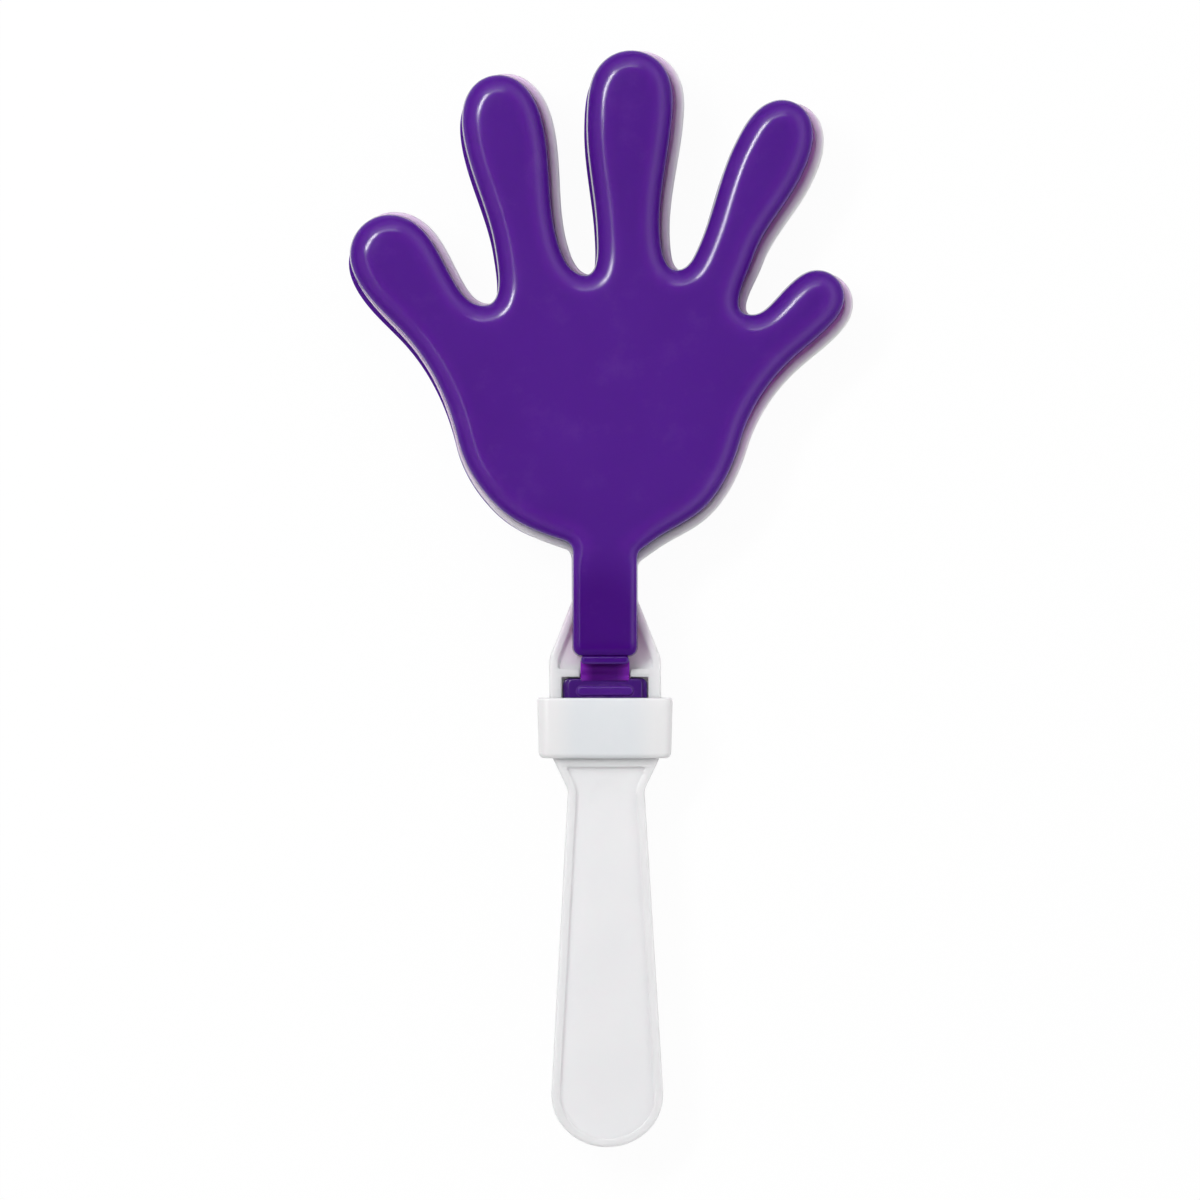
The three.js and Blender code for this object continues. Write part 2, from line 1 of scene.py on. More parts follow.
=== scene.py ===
import bpy
import bmesh
from functools import partial
from math import atan2, cos, degrees, pi, radians, sin, sqrt, tan
from mathutils import Matrix, Vector, kdtree
from mathutils.geometry import delaunay_2d_cdt
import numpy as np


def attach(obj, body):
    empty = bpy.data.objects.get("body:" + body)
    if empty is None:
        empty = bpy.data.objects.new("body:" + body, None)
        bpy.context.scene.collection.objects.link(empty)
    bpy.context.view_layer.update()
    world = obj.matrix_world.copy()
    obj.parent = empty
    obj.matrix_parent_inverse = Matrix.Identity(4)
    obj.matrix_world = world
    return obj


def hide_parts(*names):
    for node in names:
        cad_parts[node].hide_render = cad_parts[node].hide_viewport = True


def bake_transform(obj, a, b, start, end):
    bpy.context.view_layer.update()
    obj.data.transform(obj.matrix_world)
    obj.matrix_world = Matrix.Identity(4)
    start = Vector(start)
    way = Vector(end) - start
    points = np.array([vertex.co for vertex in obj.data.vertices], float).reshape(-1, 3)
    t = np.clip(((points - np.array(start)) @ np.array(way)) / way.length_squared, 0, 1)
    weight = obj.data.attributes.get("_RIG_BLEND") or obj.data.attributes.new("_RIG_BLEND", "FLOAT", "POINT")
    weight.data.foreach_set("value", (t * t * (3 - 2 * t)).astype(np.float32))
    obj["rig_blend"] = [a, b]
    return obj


# Hand clapper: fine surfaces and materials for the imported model.
# It is drawn in millimetres from the front hinge line and the handle's middle plane, and then
# moved into the model's place in metres.

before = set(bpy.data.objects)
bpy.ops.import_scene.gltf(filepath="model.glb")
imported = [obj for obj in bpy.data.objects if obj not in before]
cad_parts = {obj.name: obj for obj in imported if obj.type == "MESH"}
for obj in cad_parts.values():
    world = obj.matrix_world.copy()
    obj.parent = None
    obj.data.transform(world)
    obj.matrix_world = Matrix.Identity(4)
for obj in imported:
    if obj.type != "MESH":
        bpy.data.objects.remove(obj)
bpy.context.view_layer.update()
scene = bpy.context.scene

# what more than one piece shares
drawing = {
    "origin": (1.081, -18.151, 13.8),  # the drawing's zero, measured in the model
    "gap": 0.3,  # clearance between pieces
    "rimDepth": 10, "webDepth": 3, "crossbarTop": 0.25, "crossbarWidth": 2,
    "curveSteps": 18,  # points on each stretch of an outline
    "weld": 0.02,  # points of a swept wall nearer than this are one
}
toModel = Matrix.Diagonal((0.001, 0.001, 0.001, 1)) @ Matrix.Translation(drawing["origin"])
shellBase = drawing["rimDepth"] / 2 + drawing["gap"]
webTop = drawing["webDepth"] / 2
crossbarBottom = drawing["crossbarTop"] - drawing["crossbarWidth"]
tabTop = crossbarBottom - drawing["gap"]
tabLevel = webTop + drawing["gap"]


def placed(name, data):
    made = bpy.data.objects.new(name, data)
    scene.collection.objects.link(made)
    return made


# outlines: a list of stops, each a point and the heading of the edge there, clockwise round a piece

def bearing(angle):
    return Vector((cos(radians(angle)), sin(radians(angle))))


def stop(x, y, heading):
    return Vector((x, y)), heading


def corner(x, y, headingIn, headingOut, radius):
    turn = abs((headingOut - headingIn + 540) % 360 - 180)
    reach = radius * tan(radians(turn / 2))
    at = Vector((x, y))
    return [(at - bearing(headingIn) * reach, headingIn), (at + bearing(headingOut) * reach, headingOut)]


def roundedStops(x, y, width, height, radius):
    left, right, low, high = x - width / 2, x + width / 2, y - height / 2, y + height / 2
    return (
        corner(left, low, 180, 90, radius) + corner(left, high, 90, 0, radius)
        + corner(right, high, 0, -90, radius) + corner(right, low, -90, -180, radius)
    )


def handles(start, end):  # the two Bezier handles that make an arc of a stretch that turns one way
    (a, headingA), (b, headingB) = start, end
    turn = (headingB - headingA + 540) % 360 - 180
    length = (b - a).length / (3 * cos(radians(turn / 4)) ** 2)
    return a + bearing(headingA) * length, b - bearing(headingB) * length


def sampled(stops, inset=0, steps=None):  # points along an outline, moved inwards by inset
    steps = steps or drawing["curveSteps"]
    points = []
    for index, start in enumerate(stops):
        end = stops[(index + 1) % len(stops)]
        if (end[0] - start[0]).length < 1e-6:
            continue
        a, d = start[0], end[0]
        b, c = handles(start, end)
        for step in range(steps):
            t = step / steps
            s = 1 - t
            at = a * s ** 3 + b * 3 * s * s * t + c * 3 * s * t * t + d * t ** 3
            slope = (b - a) * s * s + (c - b) * 2 * s * t + (d - c) * t * t
            points.append(at - Vector((-slope.y, slope.x)).normalized() * inset)
    return points


def pathObject(name, stops):  # the outline as a Bezier curve for the sweeps
    curve = bpy.data.curves.new(name, "CURVE")
    curve.dimensions = "3D"
    spline = curve.splines.new("BEZIER")
    spline.bezier_points.add(len(stops) - 1)
    spline.use_cyclic_u = True
    spline.resolution_u = drawing["curveSteps"]
    for index, item in enumerate(stops):
        point = spline.bezier_points[index]
        point.handle_left_type = point.handle_right_type = "FREE"
        point.co = (*item[0], 0)
        point.handle_left = (*handles(stops[index - 1], item)[1], 0)
        point.handle_right = (*handles(item, stops[(index + 1) % len(stops)])[0], 0)
    return placed(name, curve)


# nodes

def put(tree, kind, inputs=None, **settings):
    made = tree.nodes.new(kind)
    for key, value in settings.items():
        setattr(made, key, value)
    for key, value in (inputs or {}).items():
        if isinstance(value, bpy.types.NodeSocket):
            tree.links.new(value, made.inputs[key])
        else:
            made.inputs[key].default_value = value
    return made


def figure(tree, operation, *values):
    return put(tree, "ShaderNodeMath", dict(enumerate(values)), operation=operation).outputs[0]


def ramp(tree, value, low, high, start=0, end=1, kind="SMOOTHSTEP"):
    return put(tree, "ShaderNodeMapRange", {
        "Value": value, "From Min": low, "From Max": high, "To Min": start, "To Max": end,
    }, interpolation_type=kind).outputs["Result"]


def xyz(tree, vector):
    return put(tree, "ShaderNodeSeparateXYZ", {0: vector}).outputs


# a wall section swept round an outline

sectionFields = ("insetFixed", "insetRound", "levelFixed", "levelDepth", "levelRound")
farOff = 1000  # millimetres, further than any piece reaches


def sectionObject(name, rows):  # one point for each line that the section draws round the piece
    mesh = bpy.data.meshes.new(name)
    count = len(rows)
    mesh.from_pydata([(index * 0.01, 0, 0) for index in range(count)], [(i, i + 1) for i in range(count - 1)], [])
    for column, label in enumerate(sectionFields):
        attribute = mesh.attributes.new(label, "FLOAT", "POINT")
        attribute.data.foreach_set("value", [row[column] for row in rows])
    return placed(name, mesh)


def sweptWallTree():
    tree = bpy.data.node_groups.new("sweptWall", "GeometryNodeTree")

    def socket(label, kind, way="INPUT"):
        return tree.interface.new_socket(label, in_out=way, socket_type="NodeSocket" + kind)
    socket("Geometry", "Geometry")
    socket("Path", "Object")
    socket("Section", "Object")
    for label, value in {
        "Base Level": 0, "Depth": 1, "End Depth": 1, "Edge Radius": 0, "End Edge Radius": 0, "Draft": 0,
        "Slope Top": -farOff, "Slope End": -farOff - 1, "Blend Below": 1, "Blend Above": 1, "Half Width": farOff,
    }.items():
        socket(label, "Float").default_value = value
    socket("Material", "Material")
    socket("Geometry", "Geometry", "OUTPUT")
    group = put(tree, "NodeGroupInput").outputs
    calc = partial(figure, tree)

    def field(name, kind="FLOAT"):
        return put(tree, "GeometryNodeInputNamedAttribute", {"Name": name}, data_type=kind).outputs["Attribute"]

    def stored(geometry, name, value):
        return put(tree, "GeometryNodeStoreNamedAttribute", {
            "Geometry": geometry, "Name": name, "Value": value,
        }, data_type="FLOAT_VECTOR", domain="POINT").outputs[0]

    # the path's own points, each with its outward direction
    path = put(tree, "GeometryNodeObjectInfo", {"Object": group["Path"]}).outputs["Geometry"]
    points = put(tree, "GeometryNodeResampleCurve", {"Curve": path}, mode="EVALUATED").outputs["Curve"]
    tangent = xyz(tree, put(tree, "GeometryNodeInputTangent").outputs["Tangent"])
    outward = put(tree, "ShaderNodeCombineXYZ", {"X": calc("MULTIPLY", tangent["Y"], -1), "Y": tangent["X"]}).outputs[0]
    place = put(tree, "GeometryNodeInputPosition").outputs[0]
    line = stored(stored(points, "outward", outward), "place", place)
    section = put(tree, "GeometryNodeObjectInfo", {"Object": group["Section"]}).outputs["Geometry"]
    profile = put(tree, "GeometryNodeMeshToCurve", {"Mesh": section}).outputs["Curve"]
    swept = put(tree, "GeometryNodeCurveToMesh", {"Curve": line, "Profile Curve": profile}).outputs["Mesh"]

    # edge radius and depth change down the neck
    at, out = xyz(tree, field("place", "FLOAT_VECTOR")), xyz(tree, field("outward", "FLOAT_VECTOR"))
    low = calc("SUBTRACT", group["Slope Top"], group["Blend Below"])
    high = calc("ADD", group["Slope Top"], group["Blend Above"])
    edge = ramp(tree, at["Y"], low, high, group["End Edge Radius"], group["Edge Radius"])
    inset = calc("ADD", field("insetFixed"), calc("MULTIPLY", field("insetRound"), edge))
    movedX = calc("SUBTRACT", at["X"], calc("MULTIPLY", out["X"], inset))
    movedY = calc("SUBTRACT", at["Y"], calc("MULTIPLY", out["Y"], inset))
    down = ramp(tree, movedY, group["Slope Top"], group["Slope End"], 0, 1, "LINEAR")
    eased = calc("MULTIPLY", down, calc("ADD", ramp(tree, down, 0, 0.5, 0, 0.5), 0.5))
    fall = calc("MULTIPLY", eased, calc("SUBTRACT", group["Depth"], group["End Depth"]))
    depth = calc("SUBTRACT", group["Depth"], fall)
    level = calc("ADD", field("levelFixed"), calc("MULTIPLY", field("levelDepth"), depth))
    level = calc("ADD", level, calc("MULTIPLY", field("levelRound"), edge))

    # kept between the neck's two sides and above its end
    half = calc("SUBTRACT", group["Half Width"], inset)
    heldX = calc("MAXIMUM", calc("MINIMUM", movedX, half), calc("MULTIPLY", half, -1))
    heldY = calc("MAXIMUM", movedY, calc("ADD", group["Slope End"], inset))
    onNeck = calc("LESS_THAN", at["Y"], low)
    finalX = calc("ADD", movedX, calc("MULTIPLY", onNeck, calc("SUBTRACT", heldX, movedX)))
    finalY = calc("ADD", movedY, calc("MULTIPLY", onNeck, calc("SUBTRACT", heldY, movedY)))
    target = put(tree, "ShaderNodeCombineXYZ", {
        "X": finalX, "Y": finalY, "Z": calc("ADD", level, group["Base Level"]),
    }).outputs[0]
    shaped = put(tree, "GeometryNodeSetPosition", {"Geometry": swept, "Position": target}).outputs[0]
    real = put(tree, "GeometryNodeRealizeInstances", {"Geometry": shaped}).outputs[0]
    painted = put(tree, "GeometryNodeSetMaterial", {"Geometry": real, "Material": group["Material"]}).outputs[0]
    put(tree, "NodeGroupOutput", {"Geometry": painted})
    return tree


sweepTree = sweptWallTree()


def modified(piece):  # the mesh that a piece has after its modifiers
    bpy.context.view_layer.update()
    evaluated = piece.evaluated_get(bpy.context.evaluated_depsgraph_get())
    return bpy.data.meshes.new_from_object(evaluated)


def sweep(name, stops, rows, material, **sizes):  # returns a bmesh, still open at its first and last lines
    path, section = pathObject(name + "Path", stops), sectionObject(name + "Section", rows)
    host = placed(name + "Sweep", bpy.data.meshes.new(name + "Sweep"))
    modifier = host.modifiers.new("sweptWall", "NODES")
    modifier.node_group = sweepTree
    values = {"Path": path, "Section": section, "Material": material, **sizes}
    for item in sweepTree.interface.items_tree:
        if item.in_out == "INPUT" and item.name in values:
            modifier[item.identifier] = values[item.name]
    wall = bmesh.new()
    wall.from_mesh(modified(host))
    for layers in (wall.verts.layers.float, wall.verts.layers.float_vector):
        for layer in list(layers.values()):
            layers.remove(layer)
    bmesh.ops.remove_doubles(wall, verts=wall.verts, dist=drawing["weld"])
    for leftover in (host, path, section):
        bpy.data.objects.remove(leftover)
    return wall


# meshes

def nearTree(points):
    tree = kdtree.KDTree(len(points))
    for index, point in enumerate(points):
        tree.insert((*point, 0), index)
    tree.balance()
    return tree


def ease(value, low, high):
    t = min(max((value - low) / (high - low), 0), 1)
    return t * t * (3 - 2 * t)


def quarter(steps):
    return [pi / 2 * step / steps for step in range(steps + 1)]


def openLoops(wall):  # the open edges of a bmesh, as loops of vertices in order
    edges = {edge for edge in wall.edges if edge.is_boundary}
    loops = []
    while edges:
        first = edges.pop()
        loop = [first.verts[0], first.verts[1]]
        while True:
            following = next((e for e in loop[-1].link_edges if e in edges), None)
            if following is None:
                break
            edges.remove(following)
            loop.append(following.other_vert(loop[-1]))
        loops.append(loop[:-1] if loop[0] == loop[-1] else loop)
    return loops


# a triangulated face inside a loop, with points added inside it that keep clear of the loop
def closeLoop(wall, loop, extra=(), levelAt=None, clear=0.7, tolerance=1e-7):
    outline = [vertex.co.xy for vertex in loop]
    ring = [(index, (index + 1) % len(loop)) for index in range(len(loop))]
    near = nearTree(outline)
    inner = [point for point in extra if near.find((*point, 0))[2] > clear]
    insideOnly = 1
    places, _, faces, sources, _, _ = delaunay_2d_cdt(outline + inner, ring, [], insideOnly, tolerance)
    known, added = {}, []
    for index, origin in enumerate(sources):
        on = [i for i in origin if i < len(loop)]
        if on:
            known[index] = loop[on[0]]
    for face in faces:
        for index in face:
            if index not in known:
                x, y = places[index]
                known[index] = wall.verts.new((x, y, levelAt(x, y)))
                added.append(known[index])
        corners = [known[index] for index in face]
        if len(set(corners)) > 2:
            wall.faces.new(corners)
    return added


def skin(wall, rings):  # quads between rings of vertices, and a face on both ends
    for a, b in zip(rings, rings[1:]):
        for i in range(len(a)):
            j = (i + 1) % len(a)
            wall.faces.new((a[i], a[j], b[j], b[i]))
    wall.faces.new(rings[0])
    wall.faces.new(rings[-1])
    return wall


def joined(*walls):
    total = walls[0]
    for wall in walls[1:]:
        mesh = bpy.data.meshes.new("joining")
        wall.to_mesh(mesh)
        wall.free()
        total.from_mesh(mesh)
        bpy.data.meshes.remove(mesh)
    return total


def finished(name, wall, material, softness=35, matrix=toModel, touching=1e-4):
    bmesh.ops.remove_doubles(wall, verts=wall.verts, dist=touching)
    bmesh.ops.recalc_face_normals(wall, faces=wall.faces)
    mesh = bpy.data.meshes.new(name)
    wall.to_mesh(mesh)
    wall.free()
    mesh.transform(matrix)
    mesh.materials.clear()
    mesh.materials.append(material)
    for polygon in mesh.polygons:
        polygon.use_smooth = True
        polygon.material_index = 0
    mesh.set_sharp_from_angle(angle=radians(softness))
    if "crown" in mesh.attributes:
        evenNormals(mesh)
    return placed(name, mesh)


def evenNormals(mesh, passes=6):  # averaged over the neighbours, on the crown of the face only
    crown = [item.value > 0.5 for item in mesh.attributes["crown"].data]
    mesh.attributes.remove(mesh.attributes["crown"])
    normals = [vertex.normal.copy() for vertex in mesh.vertices]
    beside = [[] for _ in normals]
    for edge in mesh.edges:
        a, b = edge.vertices
        beside[a].append(b)
        beside[b].append(a)
    near = [index for index, on in enumerate(crown) if on]
    for _ in range(passes):
        fresh = {i: sum((normals[j] for j in beside[i]), normals[i] * 2).normalized() for i in near}
        for index, normal in fresh.items():
            normals[index] = normal
    empty = Vector()
    mesh.normals_split_custom_set_from_vertices([normals[i] if crown[i] else empty for i in range(len(normals))])


def settle(piece):  # modifiers become part of the mesh
    mesh = modified(piece)
    piece.modifiers.clear()
    piece.data = mesh


def mark(piece, label, values):  # a value at each point, for a material to read
    piece.data.attributes.new(label, "FLOAT", "POINT").data.foreach_set("value", values)


# materials

# what a plastic has unless its call says otherwise: a noise is its scale, detail and roughness, a range is
# the part of its values that shows, and lengths are in metres
surface = {
    "plainRange": (0.3, 0.7), "cloudScale": 28, "cloudDetail": 4,
    "smudge": 0.1, "smudgeNoise": (75, 7, 0.72), "smudgeRange": (0.54, 0.70),
    "wear": 0.12, "wearWidth": 0.0006, "wearNoise": (260, 5, 0.7), "wearRange": (0.35, 0.65),
    "edgeRange": (0.75, 0.995), "bevelSamples": 4,
    "patchy": 0.15, "patchNoise": (45, 5, 0.6),
    "grain": 0.06, "grainNoise": (2200, 2), "grainHeight": 0.00004,
    "ripple": 0.05, "rippleNoise": (160, 2), "rippleHeight": 0.0004,
    "ior": 1.49, "shine": 0.5, "inner": 0.6, "middle": drawing["origin"][2] / 1000,
}


def plastic(name, colour, roughness, **own):
    look = {**surface, **own}
    made = bpy.data.materials.new(name)
    made.use_nodes = True
    tree = made.node_tree
    shader = tree.nodes["Principled BSDF"]
    where = put(tree, "ShaderNodeTexCoord").outputs["Object"]
    place = xyz(tree, where)
    calc = partial(figure, tree)

    def noise(scale, detail, kind=0.5):
        made = put(tree, "ShaderNodeTexNoise", {"Vector": where, "Scale": scale, "Detail": detail, "Roughness": kind})
        return made.outputs["Fac"]

    def between(value, low, high, span=look["plainRange"]):
        return ramp(tree, value, *span, low, high, "LINEAR")

    def raised(span):  # by how far a point is from the middle plane
        return between(calc("ABSOLUTE", calc("SUBTRACT", place["Z"], look["middle"])), 0, 1, span)

    def marked(label):
        return put(tree, "ShaderNodeAttribute", attribute_name=label).outputs["Fac"]

    def mixed(share, below, tone, blend="MIX"):
        return put(tree, "ShaderNodeMix", {
            "Factor": share, 6: below, 7: (*tone, 1),
        }, data_type="RGBA", blend_type=blend).outputs[2]

    # slow clouding in the resin, with a little more pigment in some places than others
    cloud = between(noise(look["cloudScale"], look["cloudDetail"]), 0, 1)
    shade = mixed(cloud, (*colour, 1), look["second"])
    if "deep" in look:  # painted shade: darker towards the neck, along a bowed line
        bowed = calc("MULTIPLY_ADD", calc("MULTIPLY", place["X"], place["X"]), look["deepBow"], place["Y"])
        shade = mixed(ramp(tree, bowed, look["deepFrom"], look["deepTo"]), shade, look["deep"])
    if "lip" in look:  # painted light: brighter where light would pass through the wall
        shade = mixed(marked("lip"), shade, look["lip"], "MULTIPLY")
    if "rim" in look:  # painted light and shade: what stands higher is a little lighter or darker
        shade = mixed(raised(look["rimFrom"]), shade, look["rim"], "MULTIPLY")
    if "tint" in look:  # painted purple bounce light and shade on the white one near the purple hands and beside the neck, but not on its outer wall
        inside, outside, along = marked("fromEdge"), marked("fromPurple"), place["Y"]
        facing = calc("MAXIMUM", raised(look["tintHigh"]), between(inside, 0, 1, look["tintWall"]))
        for tone, share, spans in (
            (look["tint"], facing, (
                (along, look["tintFrom"]), (inside, look["tintFade"]),
                (outside, look["tintUnder"]), (outside, look["tintReach"]),
            )),
            (look["neckTint"], 1, (
                (along, look["neckFrom"]), (along, look["neckTo"]), (outside, look["neckReach"]),
            )),
        ):
            for value, span in spans:
                share = calc("MULTIPLY", share, between(value, 0, 1, span))
            shade = mixed(share, shade, tone, "MULTIPLY")
    smudge = between(noise(*look["smudgeNoise"]), 0, look["smudge"], look["smudgeRange"])
    shade = mixed(smudge, shade, look["rubbed"])
    # lighter edges, partly real scuffing and partly a painted highlight: a bevelled normal leaves the true one only
    # along edges
    bevel = put(tree, "ShaderNodeBevel", {"Radius": look["wearWidth"]}, samples=look["bevelSamples"]).outputs[0]
    true = put(tree, "ShaderNodeNewGeometry").outputs["Normal"]
    aligned = put(tree, "ShaderNodeVectorMath", {0: bevel, 1: true}, operation="DOT_PRODUCT").outputs["Value"]
    patches = between(noise(*look["wearNoise"]), 0, 1, look["wearRange"])
    worn = calc("MULTIPLY", between(aligned, 1, 0, look["edgeRange"]), patches)
    shade = mixed(calc("MULTIPLY", worn, look["wear"]), shade, look["rubbed"])
    tree.links.new(shade, shader.inputs["Base Color"])
    # gloss varies in soft patches, and there is a very fine grain in the surface
    smoother, rougher = roughness * (1 - look["patchy"]), roughness * (1 + look["patchy"])
    tree.links.new(between(noise(*look["patchNoise"]), smoother, rougher), shader.inputs["Roughness"])
    fine = put(tree, "ShaderNodeBump", {
        "Height": noise(*look["grainNoise"]), "Strength": look["grain"], "Distance": look["grainHeight"],
    }).outputs[0]
    wide = put(tree, "ShaderNodeBump", {
        "Height": noise(*look["rippleNoise"]), "Strength": look["ripple"], "Distance": look["rippleHeight"],
        "Normal": fine,
    }).outputs[0]
    tree.links.new(wide, shader.inputs["Normal"])
    # light spreads a little way into the resin
    for label, value in {
        "IOR": look["ior"], "Specular IOR Level": look["shine"], "Subsurface Weight": look["inner"],
        "Subsurface Radius": look["innerRadius"], "Subsurface Scale": look["innerScale"],
    }.items():
        shader.inputs[label].default_value = value
    if "flankShine" in look:  # the steep outer flank of a shell is duller than its face
        gloss = between(marked("flank"), look["shine"], look["flankShine"], (0, 1))
        tree.links.new(gloss, shader.inputs["Specular IOR Level"])
    return made


print("materials")
purpleGloss = plastic(
    "purpleGlossPlastic", (0.0735, 0.0092, 0.236), 0.18,
    second=(0.0825, 0.0112, 0.262), cloudScale=20, smudge=0.13,
    # edges partly scuffed and partly a painted highlight
    rubbed=(0.17, 0.06, 0.36), wear=0.5, patchy=0.2, ripple=0.04, ior=1.40,
    # painted shade that darkens the neck
    deep=(0.057, 0.0022, 0.196), deepFrom=0.0165, deepTo=-0.0005, deepBow=60,
    # painted light that brightens the soft edges
    lip=(1.18, 1.10, 1.10), flankShine=0.14, innerRadius=(0.8, 0.15, 1.0), innerScale=0.002,
)
# a darker copy of the purple: painted shade on the tabs down in the pocket
purpleTabs = plastic(
    "purpleTabPlastic", (0.052, 0.0040, 0.168), 0.20,
    # painted light: the raised stop rib lighter
    second=(0.056, 0.0050, 0.180), rim=(1.4, 1.6, 1.35), rimFrom=(0.00445, 0.0047),
    # edges partly scuffed and partly a painted highlight
    rubbed=(0.19, 0.07, 0.38), wear=0.8, wearWidth=0.0007, ior=1.45,
    innerRadius=(0.8, 0.15, 1.0), innerScale=0.001,
)
# a darker copy of the purple: painted shade on the strap under the rib
purpleThin = plastic(
    "purpleThinStrap", (0.070, 0.0028, 0.166), 0.36,
    # painted light that brightens the strap towards its sides
    second=(0.088, 0.0045, 0.206), lip=(2.7, 6.5, 2.2),
    # edges partly scuffed and partly a painted highlight
    rubbed=(0.17, 0.05, 0.34), wear=0.3, ior=1.40, shine=0.1,
    inner=0.8, innerRadius=(1.0, 0.12, 1.0), innerScale=0.0025,
)
whiteSatin = plastic(
    "whiteSatinPlastic", (0.792, 0.792, 0.804), 0.42,
    # painted shade: the raised rims a little darker
    second=(0.809, 0.807, 0.815), cloudScale=60, rim=(0.90, 0.90, 0.90), rimFrom=(0.0040, 0.0046),
    rubbed=(0.83, 0.83, 0.83), wear=0.3, patchy=0.12, grain=0.10, ripple=0.04,
    inner=1.0, innerRadius=(1.0, 0.92, 0.95), innerScale=0.0050,
    # where each painted purple bounce starts and is full: by place in metres, or in millimetres from an outline
    tint=(0.99, 0.72, 1.03), tintFrom=(0.012, 0.045), tintHigh=(0.0041, 0.0048),
    tintWall=(0.5, 1.5), tintFade=(5.5, 3.2), tintUnder=(-1.9, -0.2), tintReach=(2.8, 0.8),
    neckTint=(1.0, 0.85, 0.98), neckFrom=(-0.0185, -0.0165), neckTo=(0.014, -0.004), neckReach=(5.0, 0.5),
)
whiteCollar = plastic(
    "whiteCollarPlastic", (0.716, 0.737, 0.762), 0.36,
    # painted light that brightens the collar's sides
    second=(0.732, 0.750, 0.770), cloudScale=60, lip=(1.085, 1.05, 1.025),
    rubbed=(0.86, 0.86, 0.86), wear=0.3, patchy=0.12, grain=0.08,
    innerRadius=(1.0, 0.9, 0.95), innerScale=0.002,
)


# front hand, and the rear one as its mirror image

purpleHand = {
    "neckWidth": 16.8, "neckEnd": 3.4, "cornerRadius": 2.45, "heelRadius": 3,
    "depth": 8.5, "endDepth": 5.8, "wall": 1.6, "draft": 0.3, "footChamfer": 0.12,
    # the soft edge: its run on the hand and on the neck, its drop for that run, and the degrees that it turns
    "edge": 7.1, "neckEdge": 3.0, "edgeDrop": 0.57, "steepPart": 73, "innerEdge": 0.17,
    "slopeTop": 31, "blendBelow": 6, "blendAbove": 8,
    "ribWidth": 12.2, "ribRun": 2.2, "ribHeight": 4.4, "ribCorner": 1.05, "ribEdge": 0.75,
    # where the bands of painted light and the duller flank lie, from the outline, the neck's end or the slope's top
    "lipInside": (1.2, 3.0), "lipFade": (4.0, 7.0), "flankFade": (1.2, 3.4), "handStart": (-6, 3),
    "neckLipFade": (1.0, 2.6), "neckLipStart": (1, 4.5), "neckFlank": (0.5, 1.3), "endFlank": (2.2, 3.8),
    "rearTurn": 0.24, "rearSlip": -1.55,
    # the mesh: steps round the edges, and a grid of triangles inside the face
    "innerSteps": 6, "outerSteps": 16, "gridStep": 1.25, "gridRow": 0.866, "gridAcross": (-54, 54),
    "gridAlong": (3, 146), "slopeGridTop": 36, "smoothing": 6, "faceMargin": 0.3, "crownMargin": 0.15,
}
# root x and y, angle, reach, tip radius; then for the left and the right side: out, rise and turn at the root,
# out and rise where it is widest
fingers = {
    "thumb": (-43, 90.8, 128, 19.3, 10.3, (9.8, 0.3, 4, 11.1, 14.4), (8.7, 3, -7, 10.7, 17.2)),
    "index": (-21.2, 112.8, 101, 30.8, 8.9, (7.8, -3.6, -2, 10.3, 24.1), (8.6, -6.7, 7.6, 10.5, 23.5)),
    "middle": (5.5, 108, 88.3, 39.8, 10.4, (7.8, 3.9, 4.5, 11.2, 32.2), (8.9, 0.9, 8.6, 10.9, 36.8)),
    "ring": (30.4, 107.7, 63.8, 33.4, 7.9, (6, -3.7, 1, 9.3, 24.8), (7.9, 1.3, 7, 9.7, 24.8)),
    "little": (43.3, 84.1, 45.3, 15.5, 7, (7.3, 8.5, 1.4, 7.4, 10.8), (6.7, 0.4, -3.3, 7.5, 12.1)),
}
webs = ((1.3, 5.3, -8.4), (0.6, 6.8, -17.8), (-0.4, 4.8, -1.4), (-3.9, 4.5, -5.1))  # aside, drop, turn
# the palm's two sides, as x, y and heading; the stops beside the neck are measured from its side
thumbHeel = ((-3.7, 33.3, 162), (-26.9, 40.9, 137.5), (-37.8, 58.9, 103.4))
littleHeel = ((34.8, 58.6, -106.5), (24.8, 40.7, -138), (4, 32.8, -144))


def fingerStops(x, y, angle, reach, radius, left, right):
    along, side = bearing(angle), bearing(angle + 90)
    root = Vector((x, y))
    bend = radius * sqrt(0.5)  # the tip is a quarter of a circle

    def place(rise, out):
        return root + along * rise + side * out
    return [
        (place(left[1], left[0]), angle + left[2]),
        (place(left[4], left[3]), angle),
        (place(reach + bend, bend), angle - 45),
        (place(reach + bend, -bend), angle - 135),
        (place(right[4], -right[3]), angle - 180),
        (place(right[1], -right[0]), angle - 180 + right[2]),
    ]


def handStops():
    half = purpleHand["neckWidth"] / 2
    drawn = [fingerStops(*finger) for finger in fingers.values()]
    (x, y, heading), *palm = thumbHeel
    stops = [stop(x - half, y, heading)] + [stop(*at) for at in palm] + drawn[0]
    for (aside, drop, turn), following in zip(webs, drawn[1:]):
        before, after = stops[-1][0], following[0][0]
        stops.append(stop((before.x + after.x) / 2 + aside, min(before.y, after.y) - drop, turn))
        stops += following
    *palm, (x, y, heading) = littleHeel
    return stops + [stop(*at) for at in palm] + [stop(x + half, y, heading)]


def heelFillet(x, heel):
    at, heading = heel
    y = at.y + (x - at.x) * tan(radians(heading))
    if x < 0:
        return corner(x, y, 90, heading, purpleHand["heelRadius"])
    return corner(x, y, heading, -90, purpleHand["heelRadius"])


